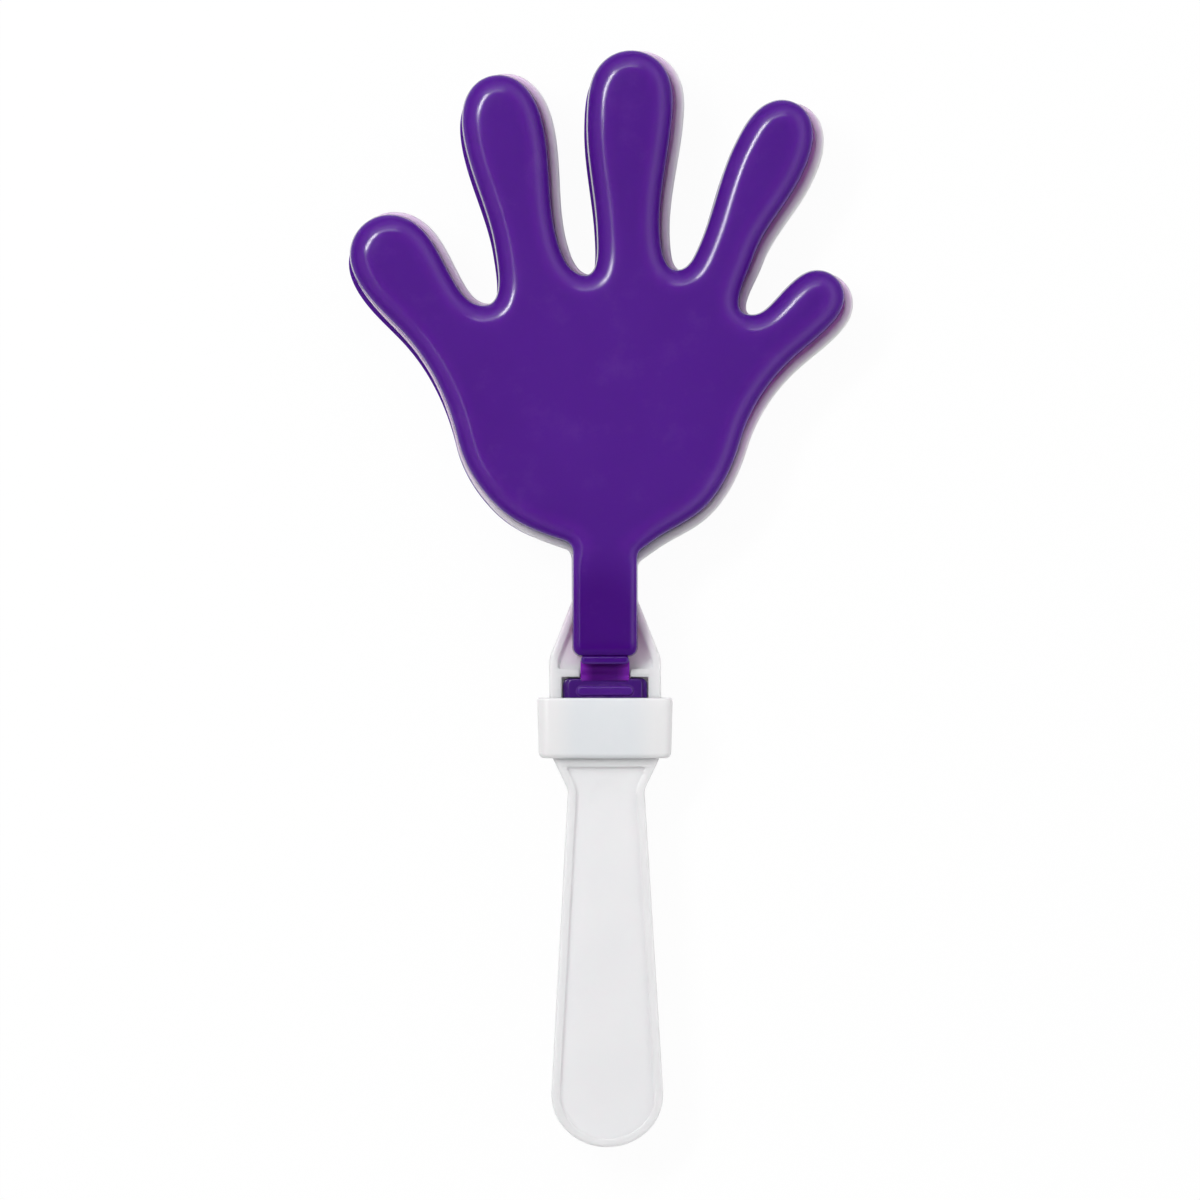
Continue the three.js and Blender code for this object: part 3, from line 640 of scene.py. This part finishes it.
def purpleStops():
    half, end, radius = purpleHand["neckWidth"] / 2, purpleHand["neckEnd"], purpleHand["cornerRadius"]
    hand = handStops()
    return (
        corner(-half, end, 180, 90, radius) + heelFillet(-half, hand[0]) + hand
        + heelFillet(half, hand[-1]) + corner(half, end, -90, -180, radius)
    )


def faceDepth(y):
    h = purpleHand
    down = min(max((h["slopeTop"] - y) / (h["slopeTop"] - h["neckEnd"]), 0), 1)
    eased = down * (1 + ease(down, 0, 0.5)) / 2
    return h["depth"] - (h["depth"] - h["endDepth"]) * eased


def edgeRun(y):
    h = purpleHand
    share = ease(y, h["slopeTop"] - h["blendBelow"], h["slopeTop"] + h["blendAbove"])
    return h["neckEdge"] + (h["edge"] - h["neckEdge"]) * share


def faceLevel(outline, tree, x, y):  # the soft crown of the face, from how far a point is from the outline
    at = Vector((x, y))
    _, index, near = tree.find((x, y, 0))
    for a, b in ((index - 1, index), (index, (index + 1) % len(outline))):
        side = outline[b] - outline[a]
        t = min(max((at - outline[a]).dot(side) / max(side.length_squared, 1e-9), 0), 1)
        near = min(near, (outline[a] + side * t - at).length)
    run = edgeRun(y)
    u = max(run - max(near - purpleHand["draft"], 0), 0) / run
    drop = purpleHand["edgeDrop"] * run * (1 - sqrt(1 - u * u))
    return shellBase + faceDepth(y) - drop


def handWall():
    h = purpleHand
    rows = []
    for angle in reversed(quarter(h["innerSteps"])):  # from the ceiling down to the inner wall
        flat, steep = 1 - cos(angle), 1 - sin(angle)
        rows.append((h["wall"] + h["draft"], h["innerEdge"] * flat, -h["wall"], 1, -h["innerEdge"] * steep))
    rows += [(h["wall"], 0, 0, 0, 0), (h["footChamfer"], 0, 0, 0, 0), (0, 0, h["footChamfer"], 0, 0)]
    for step in range(h["outerSteps"] + 1):  # from the outer wall up over the soft edge
        angle = radians(h["steepPart"]) * step / h["outerSteps"]
        rows.append((h["draft"], 1 - cos(angle), 0, 1, h["edgeDrop"] * (sin(angle) - 1)))
    wall = sweep(
        "hand", purpleStops(), rows, purpleGloss,
        **{
            "Base Level": shellBase, "Depth": h["depth"], "End Depth": h["endDepth"],
            "Edge Radius": h["edge"], "End Edge Radius": h["neckEdge"], "Draft": h["draft"],
            "Slope Top": h["slopeTop"], "Slope End": h["neckEnd"],
            "Blend Below": h["blendBelow"], "Blend Above": h["blendAbove"], "Half Width": h["neckWidth"] / 2,
        },
    )
    crown, lip, flank = (wall.verts.layers.float.new(name) for name in ("crown", "lip", "flank"))
    outline = sampled(purpleStops())
    tree = nearTree(outline)
    step = h["gridStep"]
    grid = [
        Vector((x * step + (y % 2) * step / 2, y * step * h["gridRow"]))
        for x in range(*h["gridAcross"]) for y in range(*h["gridAlong"])
    ]
    smoothed = []
    for loop in openLoops(wall):
        height = max(vertex.co.z for vertex in loop)
        if height > shellBase + h["depth"] - h["wall"] + h["faceMargin"]:
            smoothed = closeLoop(wall, loop, grid, lambda x, y: faceLevel(outline, tree, x, y))
        else:
            low = [point for point in grid if point.y < h["slopeGridTop"]]
            closeLoop(wall, loop, low, lambda x, y: shellBase + faceDepth(y) - h["wall"])
    for _ in range(h["smoothing"]):
        bmesh.ops.smooth_vert(wall, verts=smoothed, factor=0.5, use_axis_z=True)
    handStart = [h["slopeTop"] + past for past in h["handStart"]]
    for vertex in wall.verts:
        x, y, z = vertex.co
        if z > shellBase + faceDepth(y) - h["wall"] + h["crownMargin"]:
            vertex[crown] = 1
        near, fromEnd, onHand = tree.find((x, y, 0))[2], y - h["neckEnd"], ease(y, *handStart)
        # painted light: a brighter band inside the soft edge of the hand and along the neck's sides
        handLip = ease(near, *h["lipInside"]) * (1 - ease(near, *h["lipFade"]))
        neckLip = (1 - ease(near, *h["neckLipFade"])) * ease(fromEnd, *h["neckLipStart"])
        vertex[lip] = handLip * onHand + neckLip * (1 - onHand)
        dull = (1 - ease(near, *h["flankFade"])) * onHand + (1 - ease(near, *h["neckFlank"])) * (1 - onHand)
        vertex[flank] = max(dull, 1 - ease(fromEnd, *h["endFlank"]))
    return wall


plate = {"edgeSteps": 5, "cornerSteps": 8, "leastCorner": 0.1}


def slab(x, y, width, run, corners, low, high, edge):  # a rounded plate with soft upper edges
    wall = bmesh.new()
    soft = [(edge * (1 - cos(a)), high - edge * (1 - sin(a))) for a in quarter(plate["edgeSteps"])]
    rings = []
    for inset, level in [(0, low)] + soft:
        radius = max(corners - inset, plate["leastCorner"])
        around = sampled(roundedStops(x, y, width - 2 * inset, run - 2 * inset, radius), steps=plate["cornerSteps"])
        rings.append([wall.verts.new((*point, level)) for point in around])
    return skin(wall, rings)


print("hands")
ribMiddle = purpleHand["neckEnd"] + drawing["gap"] - purpleHand["ribRun"] / 2
handRib = slab(
    0, ribMiddle, purpleHand["ribWidth"], purpleHand["ribRun"], purpleHand["ribCorner"],
    shellBase, shellBase + purpleHand["ribHeight"], purpleHand["ribEdge"],
)
frontWall = joined(handWall(), handRib)
rearPlace = (
    toModel @ Matrix.Translation((0, purpleHand["rearSlip"], 0))
    @ Matrix.Rotation(radians(purpleHand["rearTurn"]), 4, "Z") @ Matrix.Diagonal((1, 1, -1, 1))
)
frontHand = finished("frontHand", frontWall.copy(), purpleGloss)
rearHand = finished("rearHand", frontWall, purpleGloss, matrix=rearPlace)
rearHand.data.flip_normals()
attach(frontHand, "front_hand")
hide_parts("front_hand")
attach(rearHand, "rear_hand")
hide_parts("rear_hand")


# anchor tabs: a plate, a narrower step and a stop rib

print("anchor tabs")
tab = {
    "run": 12.4, "plateWidth": 21.6, "plate": 1.8, "plateCorner": 1.8, "plateEdge": 0.55,
    "stepWidth": 19.2, "stepRun": 12.1, "step": 0.8, "stepCorner": 1.4, "stepEdge": 0.5, "stepSink": 0.4,
    "ribWidth": 14.6, "ribRun": 2.7, "ribHeight": 0.6, "ribBelow": 1.95, "ribCorner": 1.3, "ribEdge": 0.7,
}
tabMiddle = tabTop - tab["run"] / 2
plateTop = tabLevel + tab["plate"]
stepTop = plateTop + tab["step"]
tabRib = tabTop - tab["ribBelow"] - tab["ribRun"] / 2
tabWall = joined(
    slab(0, tabMiddle, tab["plateWidth"], tab["run"], tab["plateCorner"], tabLevel, plateTop, tab["plateEdge"]),
    slab(
        0, tabMiddle, tab["stepWidth"], tab["stepRun"], tab["stepCorner"],
        plateTop - tab["stepSink"], stepTop, tab["stepEdge"],
    ),
    slab(
        0, tabRib, tab["ribWidth"], tab["ribRun"], tab["ribCorner"],
        plateTop, stepTop + tab["ribHeight"], tab["ribEdge"],
    ),
)
frontTab = finished("frontAnchorTab", tabWall.copy(), purpleTabs)
rearTab = finished("rearAnchorTab", tabWall, purpleTabs, matrix=rearPlace)
rearTab.data.flip_normals()
for piece, node in ((frontTab, "front_anchor_tab"), (rearTab, "rear_anchor_tab")):
    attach(piece, "handle")
    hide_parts(node)


# straps: one thin strip from the neck to the tab, which bends with the hand

hingeStrap = {
    "width": 12.5, "thickness": 0.8, "tuck": 1.2, "round": 0.25,
    "steps": 28, "across": 12, "roundPoints": 4,
    "lighter": (2.8, 6.0),  # distances from the middle over which painted light makes it lighter
    "bendStart": (0, -1.9, 4.9), "bendEnd": (0, 1.3, 4.9),
}


def strapWall():
    s = hingeStrap
    half, thick, edge = s["width"] / 2, s["thickness"] / 2, s["round"]
    start = Vector((purpleHand["neckEnd"] - purpleHand["ribRun"], shellBase + thick))
    end = Vector((tabTop + drawing["gap"], stepTop - thick))
    middle = (start.x + end.x) / 2
    line = [start + Vector((s["tuck"], 0))]
    for step in range(s["steps"] + 1):
        t = step / s["steps"]
        u = 1 - t
        y = start.x * u ** 3 + middle * 3 * u * t + end.x * t ** 3
        z = start.y * (u ** 3 + 3 * u * u * t) + end.y * (3 * u * t * t + t ** 3)
        line.append(Vector((y, z)))
    line.append(end - Vector((s["tuck"], 0)))
    ring = []
    for sideX, sideZ, begin in ((1, 1, 0), (-1, 1, 90), (-1, -1, 180), (1, -1, 270)):
        x, z = sideX * (half - edge), sideZ * (thick - edge)
        for step in range(s["roundPoints"]):
            out = bearing(begin + 90 * step / (s["roundPoints"] - 1)) * edge
            ring.append((x + out.x, z + out.y))
        if sideX == sideZ:  # points across the flat, from this corner to the next
            ring += [(x * (1 - 2 * i / s["across"]), sideZ * thick) for i in range(1, s["across"])]
    wall = bmesh.new()
    rings = []
    for index, at in enumerate(line):
        before, after = line[max(index - 1, 0)], line[min(index + 1, len(line) - 1)]
        along = (after - before).normalized()
        up = Vector((-along.y, along.x))
        up = -up if up.y < 0 else up
        rings.append([wall.verts.new((x, at.x + up.x * z, at.y + up.y * z)) for x, z in ring])
    return skin(wall, rings)


print("straps")
bendStart, bendEnd = Vector(hingeStrap["bendStart"]), Vector(hingeStrap["bendEnd"])
for name, hand, node, matrix in (
    ("frontHingeStrap", "front_hand", "front_hinge_strap", toModel),
    ("rearHingeStrap", "rear_hand", "rear_hinge_strap", rearPlace),
):
    strap = finished(name, strapWall(), purpleThin, softness=50, matrix=matrix)
    back = matrix.inverted()
    # painted light: lighter towards the strap's sides
    mark(strap, "lip", [ease(abs((back @ v.co).x), *hingeStrap["lighter"]) for v in strap.data.vertices])
    if hand == "rear_hand":
        strap.data.flip_normals()
    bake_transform(strap, "handle", hand, start=matrix @ bendStart, end=matrix @ bendEnd)
    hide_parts(node)


# white handle and centre hand

whitePart = {
    "rimWidth": 2.1, "rimEdge": 0.7, "rimSteps": 4, "capInset": 0.05, "recessDepth": 1.7, "gripDepth": 1.05,
    "overhang": 1, "turn": -0.7, "slip": -1,
    "shoulderWidth": 28.6, "shoulderTop": 2.9, "shoulderBottom": -21.2, "shoulderRadius": 5,
    "neckWidth": 16.6, "flareTop": 18,
    "waistWidth": 19.6, "waistLevel": -30.6, "waistRadius": 4,
    "endWidth": 28.6, "length": 121.9, "lean": 0.2, "leanAbout": 60,
    "pocketWidth": 22.2, "pocketBottom": -17.05, "pocketCorner": 0.4, "gripRecessTop": -24.7,
    "recessCorner": 1, "recessCornerSteps": 6,
    "notchWidth": 13.1, "notchDepth": 1.9, "notchOver": 0.3, "notchCorner": 0.1,
    "pinRadius": 4.2, "pinPlace": (0.33, -32.8), "pinDepth": 0.16, "pinOver": 0.3, "pinSides": 72,
    "softEdge": 0.22, "softSteps": 2, "softAngle": 50, "shadeAngle": 40,
    # the mesh of the hand's recess: points from gridGap inside the rim to gridReach from the outline
    "gridStep": 2.2, "gridAcross": (-32, 32), "gridAlong": (1, 76), "gridGap": 0.8, "gridReach": 9,
}


def whiteStops():
    w = whitePart
    lay = Matrix.Rotation(radians(w["turn"]), 2)
    hand = []
    for at, heading in handStops():
        grown = at + bearing(heading + 90) * w["overhang"]
        hand.append((lay @ grown + Vector((0, w["slip"])), heading + w["turn"]))
    neck, shoulder, waist, end = (w[key] / 2 for key in ("neckWidth", "shoulderWidth", "waistWidth", "endWidth"))
    flare = degrees(atan2(w["flareTop"] - w["shoulderTop"], shoulder - neck))
    endLevel = end - w["length"]
    taper = degrees(atan2(end - waist, w["waistLevel"] - endLevel))
    flank = degrees(atan2(shoulder - waist, w["shoulderBottom"] - w["waistLevel"]))

    def leaning(stops):
        about, turn = Vector((0, w["leanAbout"])), Matrix.Rotation(radians(w["lean"]), 2)
        return [(turn @ (at - about) + about, heading + w["lean"]) for at, heading in stops]
    return (
        leaning(
            [stop(0, -w["length"], 180), stop(-end, endLevel, 90 - taper)]
            + corner(-waist, w["waistLevel"], 90 - taper, 90 + flank, w["waistRadius"])
            + corner(-shoulder, w["shoulderBottom"], 90 + flank, 90, w["shoulderRadius"])
        )
        + corner(-shoulder, w["shoulderTop"], 90, flare, w["shoulderRadius"])
        + corner(-neck, w["flareTop"], flare, 90, w["shoulderRadius"])
        + heelFillet(-neck, hand[0]) + hand + heelFillet(neck, hand[-1])
        + corner(neck, w["flareTop"], -90, -flare, w["shoulderRadius"])
        + corner(shoulder, w["shoulderTop"], -flare, -90, w["shoulderRadius"])
        + leaning(
            corner(shoulder, w["shoulderBottom"], -90, -90 - flank, w["shoulderRadius"])
            + corner(waist, w["waistLevel"], -90 - flank, taper - 90, w["waistRadius"])
            + [stop(end, endLevel, taper - 90)]
        )
    )


def prism(points, low, high, extra=()):
    wall = bmesh.new()
    rings = [[wall.verts.new((*point, level)) for point in points] for level in (low, high)]
    for index in range(len(points)):
        following = (index + 1) % len(points)
        wall.faces.new((rings[0][index], rings[0][following], rings[1][following], rings[1][index]))
    wall.faces.new(rings[1])
    if extra:
        closeLoop(wall, rings[0], extra, lambda x, y: low)
    else:
        wall.faces.new(rings[0])
    bmesh.ops.recalc_face_normals(wall, faces=wall.faces)
    return wall


def clipped(points, level, above):  # the part of an outline on one side of a level, its new corners rounded
    count = len(points)

    def inside(point):
        return point.y > level if above else point.y < level
    first = next(i for i in range(count) if inside(points[i]) and not inside(points[i - 1]))
    kept = []
    for step in range(count):
        point = points[(first + step) % count]
        if not inside(point):
            break
        kept.append(point)

    def crossing(a, b):
        return a.lerp(b, (level - a.y) / (b.y - a.y))
    start = crossing(points[first - 1], kept[0])
    end = crossing(kept[-1], points[(first + len(kept)) % count])
    reach, steps = whitePart["recessCorner"], whitePart["recessCornerSteps"]
    across = (start - end).normalized()

    def bend(cornerPoint, towards):
        while (kept[-1] - cornerPoint).length < reach:
            kept.pop()
        on = cornerPoint + (kept[-1] - cornerPoint).normalized() * reach
        off = cornerPoint + towards * reach
        return [
            on * (1 - i / steps) ** 2 + cornerPoint * 2 * (1 - i / steps) * (i / steps) + off * (i / steps) ** 2
            for i in range(steps + 1)
        ]
    ending = bend(end, across)
    kept.reverse()
    starting = bend(start, -across)
    kept.reverse()
    return kept + ending + list(reversed(starting))


def whiteCuts(stops, nearOutline):  # what is cut out of the front face
    w = whitePart
    face, high = drawing["rimDepth"] / 2, shellBase
    recess, grip = face - w["recessDepth"], face - w["gripDepth"]
    panel = sampled(stops, w["rimWidth"])
    step = w["gridStep"]
    grid = [Vector((x * step, y * step)) for x in range(*w["gridAcross"]) for y in range(*w["gridAlong"])]
    least = w["rimWidth"] + w["gridGap"]
    band = [point for point in grid if least < nearOutline.find((*point, 0))[2] < w["gridReach"]]
    pocketMiddle, pocketRun = (crossbarBottom + w["pocketBottom"]) / 2, crossbarBottom - w["pocketBottom"]
    pocket = roundedStops(0, pocketMiddle, w["pocketWidth"], pocketRun, w["pocketCorner"])
    notchMiddle, notchRun = (drawing["crossbarTop"] + crossbarBottom) / 2, drawing["crossbarWidth"] + w["notchOver"]
    notch = roundedStops(0, notchMiddle, w["notchWidth"], notchRun, w["notchCorner"])
    turn = -360 / w["pinSides"]
    pin = [bearing(turn * i) * w["pinRadius"] + Vector(w["pinPlace"]) for i in range(w["pinSides"])]
    return [
        prism(clipped(panel, drawing["crossbarTop"], True), recess, high, band),
        prism(clipped(panel, w["gripRecessTop"], False), grip, high),
        prism(sampled(pocket, steps=4), webTop, high),
        prism(sampled(notch, steps=2), face - w["notchDepth"], high),
        prism(pin, grip - w["pinDepth"], grip + w["pinOver"]),
    ]


def whiteShape():
    w = whitePart
    face, edge = drawing["rimDepth"] / 2, w["rimEdge"]
    stops = whiteStops()
    turned = [(edge * (1 - sin(a)), edge * (1 - cos(a))) for a in quarter(w["rimSteps"])]
    rows = [(edge + w["capInset"], 0, -face, 0, 0)]
    rows += [(inset, 0, rise - face, 0, 0) for inset, rise in turned]
    rows += [(drop, 0, face - drawn, 0, 0) for drawn, drop in turned]
    rows.append((edge + w["capInset"], 0, face, 0, 0))
    wall = sweep("white", stops, rows, whiteSatin)
    for loop in openLoops(wall):
        level = loop[0].co.z
        closeLoop(wall, loop, (), lambda x, y: level)
    body = finished("handleAndCentreHand", wall, whiteSatin, matrix=Matrix.Identity(4))
    nearOutline = nearTree(sampled(stops))
    for index, cut in enumerate(whiteCuts(stops, nearOutline)):
        for side in (1, -1):
            tool = finished(f"cut{index}", cut.copy(), whiteSatin, matrix=Matrix.Diagonal((1, 1, side, 1)))
            if side < 0:
                tool.data.flip_normals()
            modifier = body.modifiers.new("cut", "BOOLEAN")
            modifier.operation = "DIFFERENCE"
            modifier.solver = "EXACT"
            modifier.object = tool
            settle(body)
            bpy.data.objects.remove(tool)
        cut.free()
    soft = body.modifiers.new("softEdges", "BEVEL")
    soft.width = w["softEdge"]
    soft.segments = w["softSteps"]
    soft.limit_method = "ANGLE"
    soft.angle_limit = radians(w["softAngle"])
    soft.use_clamp_overlap = True
    settle(body)

    # how far each point lies inside the white outline, and outside the purple one
    mark(body, "fromEdge", [nearOutline.find((v.co.x, v.co.y, 0))[2] for v in body.data.vertices])
    purple, within = sampled(purpleStops()), sampled(purpleStops(), 1)
    nearPurple, outside = nearTree(purple), []
    for v in body.data.vertices:
        index = nearPurple.find((v.co.x, v.co.y, 0))[1]
        outside.append((v.co.xy - purple[index]).dot(purple[index] - within[index]))
    mark(body, "fromPurple", outside)
    body.data.transform(toModel)
    for polygon in body.data.polygons:
        polygon.use_smooth = True
    body.data.set_sharp_from_angle(angle=radians(w["shadeAngle"]))
    weighted = body.modifiers.new("evenShading", "WEIGHTED_NORMAL")
    weighted.keep_sharp = True
    settle(body)
    return body


print("white handle")
handle = whiteShape()
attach(handle, "handle")
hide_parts("handle_and_centre_hand")


# collar: a wall section swept round the handle's own section, and stood on end

print("collar")
slideCollar = {
    "top": -7.15, "length": 15.4, "width": 29.2, "depth": 10.6, "wall": 2.7, "corner": 3.2, "taper": 0.35,
    "boreEdge": 0.25, "topEdge": 0.6, "topSteps": 6, "bottomEdge": 1.5, "bottomSteps": 8,
    # distances from the middle over which painted light makes the sides lighter
    "lighter": (6, 14),
}


def collarPiece():
    c = slideCollar
    inset, bore, length = c["wall"], c["boreEdge"], c["length"]
    outer = roundedStops(0, 0, c["width"] + 2 * inset, c["depth"] + 2 * inset, c["corner"])
    rows = [(inset, 0, bore, 0, 0), (inset - bore, 0, 0, 0, 0)]
    for a in quarter(c["topSteps"]):
        rows.append((c["topEdge"] * (1 - sin(a)), 0, c["topEdge"] * (1 - cos(a)), 0, 0))
    for a in quarter(c["bottomSteps"]):
        aside, up = c["bottomEdge"] * (1 - cos(a)), c["bottomEdge"] * (1 - sin(a))
        rows.append((c["taper"] + aside, 0, length - up, 0, 0))
    rows += [(inset - bore, 0, length, 0, 0), (inset, 0, length - bore, 0, 0), rows[0]]
    wall = sweep("collar", outer, rows, whiteCollar)
    upright = toModel @ Matrix(((1, 0, 0, 0), (0, 0, -1, c["top"]), (0, 1, 0, 0), (0, 0, 0, 1)))
    made = finished("lockingCollar", wall, whiteCollar, matrix=upright)
    back = toModel.inverted()
    # painted light: lighter towards the collar's sides
    mark(made, "lip", [ease(abs((back @ v.co).x), *c["lighter"]) for v in made.data.vertices])
    return made


collar = collarPiece()
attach(collar, "collar")
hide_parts("locking_collar")


# floor, light and camera

print("floor, light and camera")
studio = {
    "floorSize": 14, "floorGrey": 0.9, "floorGlow": 0.96,
    # the sky's strength low down, in a ring half way up and overhead, on the left and the right, and where it changes
    "skyLow": 0.35, "skyRing": 0.85, "skyHigh": 0.17, "skySides": (0.55, 1.40),
    "skyRise": (0.10, 0.45), "skyFall": (0.60, 0.92),
    "cameraHeight": 3.0, "focus": (-0.0002, -0.0003, 0.02), "frameWidth": 0.30624, "sensor": 36, "clipEnd": 50,
    "boxDistance": 1.5,
    # azimuth and elevation in degrees, width, height in metres, and how bright each softbox looks
    "boxes": {
        "keyBox": (143, 57, 0.60, 0.165, 36.0),
        "keyTail": (103, 55, 0.70, 0.14, 4.0),
        "topBox": (105, 50, 1.10, 0.50, 1.2),
        "tailBox": (183, 56, 0.90, 0.10, 3.2),
        "rightBox": (-5, 42, 3.00, 0.50, 0.2),
    },
}


def floorMaterial():
    made = bpy.data.materials.new("paleFloor")
    made.use_nodes = True
    tree = made.node_tree
    tree.nodes.clear()
    ray = put(tree, "ShaderNodeLightPath").outputs
    seen = figure(tree, "MAXIMUM", ray["Is Camera Ray"], ray["Is Glossy Ray"])
    seen = figure(tree, "MAXIMUM", seen, ray["Is Transmission Ray"])
    share = figure(tree, "MULTIPLY", seen, studio["floorGlow"])
    dull = put(tree, "ShaderNodeBsdfDiffuse", {"Color": (*[studio["floorGrey"]] * 3, 1)}).outputs[0]
    glow = put(tree, "ShaderNodeEmission", {"Color": (1, 1, 1, 1), "Strength": 1.0}).outputs[0]
    mixed = put(tree, "ShaderNodeMixShader", {0: share, 1: dull, 2: glow}).outputs[0]
    put(tree, "ShaderNodeOutputMaterial", {"Surface": mixed})
    return made


reach = studio["floorSize"] / 2
floorCorners = [(x * reach, y * reach, 0) for x, y in ((-1, -1), (1, -1), (1, 1), (-1, 1))]
floorMesh = bpy.data.meshes.new("floor")
floorMesh.from_pydata(floorCorners, [], [(0, 1, 2, 3)])
floorMesh.materials.append(floorMaterial())
floor = placed("floor", floorMesh)

# a ring of soft light at half height, stronger on the right, and darker overhead
scene.world = bpy.data.worlds.new("studio")
scene.world.use_nodes = True
skyTree = scene.world.node_tree
background = skyTree.nodes["Background"]
towards = xyz(skyTree, put(skyTree, "ShaderNodeTexCoord").outputs["Generated"])
rising = ramp(skyTree, towards["Z"], *studio["skyRise"], studio["skyLow"], studio["skyRing"])
falling = ramp(skyTree, towards["Z"], *studio["skyFall"])
ring = put(skyTree, "ShaderNodeMix", {"Factor": falling, 2: rising, 3: studio["skyHigh"]}, data_type="FLOAT")
sided = ramp(skyTree, towards["X"], -1, 1, *studio["skySides"])
skyTree.links.new(figure(skyTree, "MULTIPLY", ring.outputs[0], sided), background.inputs["Strength"])
background.inputs["Color"].default_value = (1, 1, 1, 1)

for name, (azimuth, elevation, width, tall, brightness) in studio["boxes"].items():
    light = bpy.data.lights.new(name, "AREA")
    light.shape = "RECTANGLE"
    light.size, light.size_y = width, tall
    light.energy = brightness * pi * width * tall
    level = bearing(azimuth) * cos(radians(elevation))
    place = Vector((level.x, level.y, sin(radians(elevation)))) * studio["boxDistance"]
    box = placed(name, light)
    box.location = place
    box.rotation_euler = place.to_track_quat("Z", "Y").to_euler()

camera = bpy.data.cameras.new("camera")
camera.sensor_width = studio["sensor"]
camera.lens = studio["sensor"] * studio["cameraHeight"] / studio["frameWidth"]
camera.clip_end = studio["clipEnd"]
focusX, focusY, focusZ = studio["focus"]
scene.camera = placed("camera", camera)
scene.camera.location = (focusX, focusY, focusZ + studio["cameraHeight"])
scene.view_settings.view_transform = "Standard"
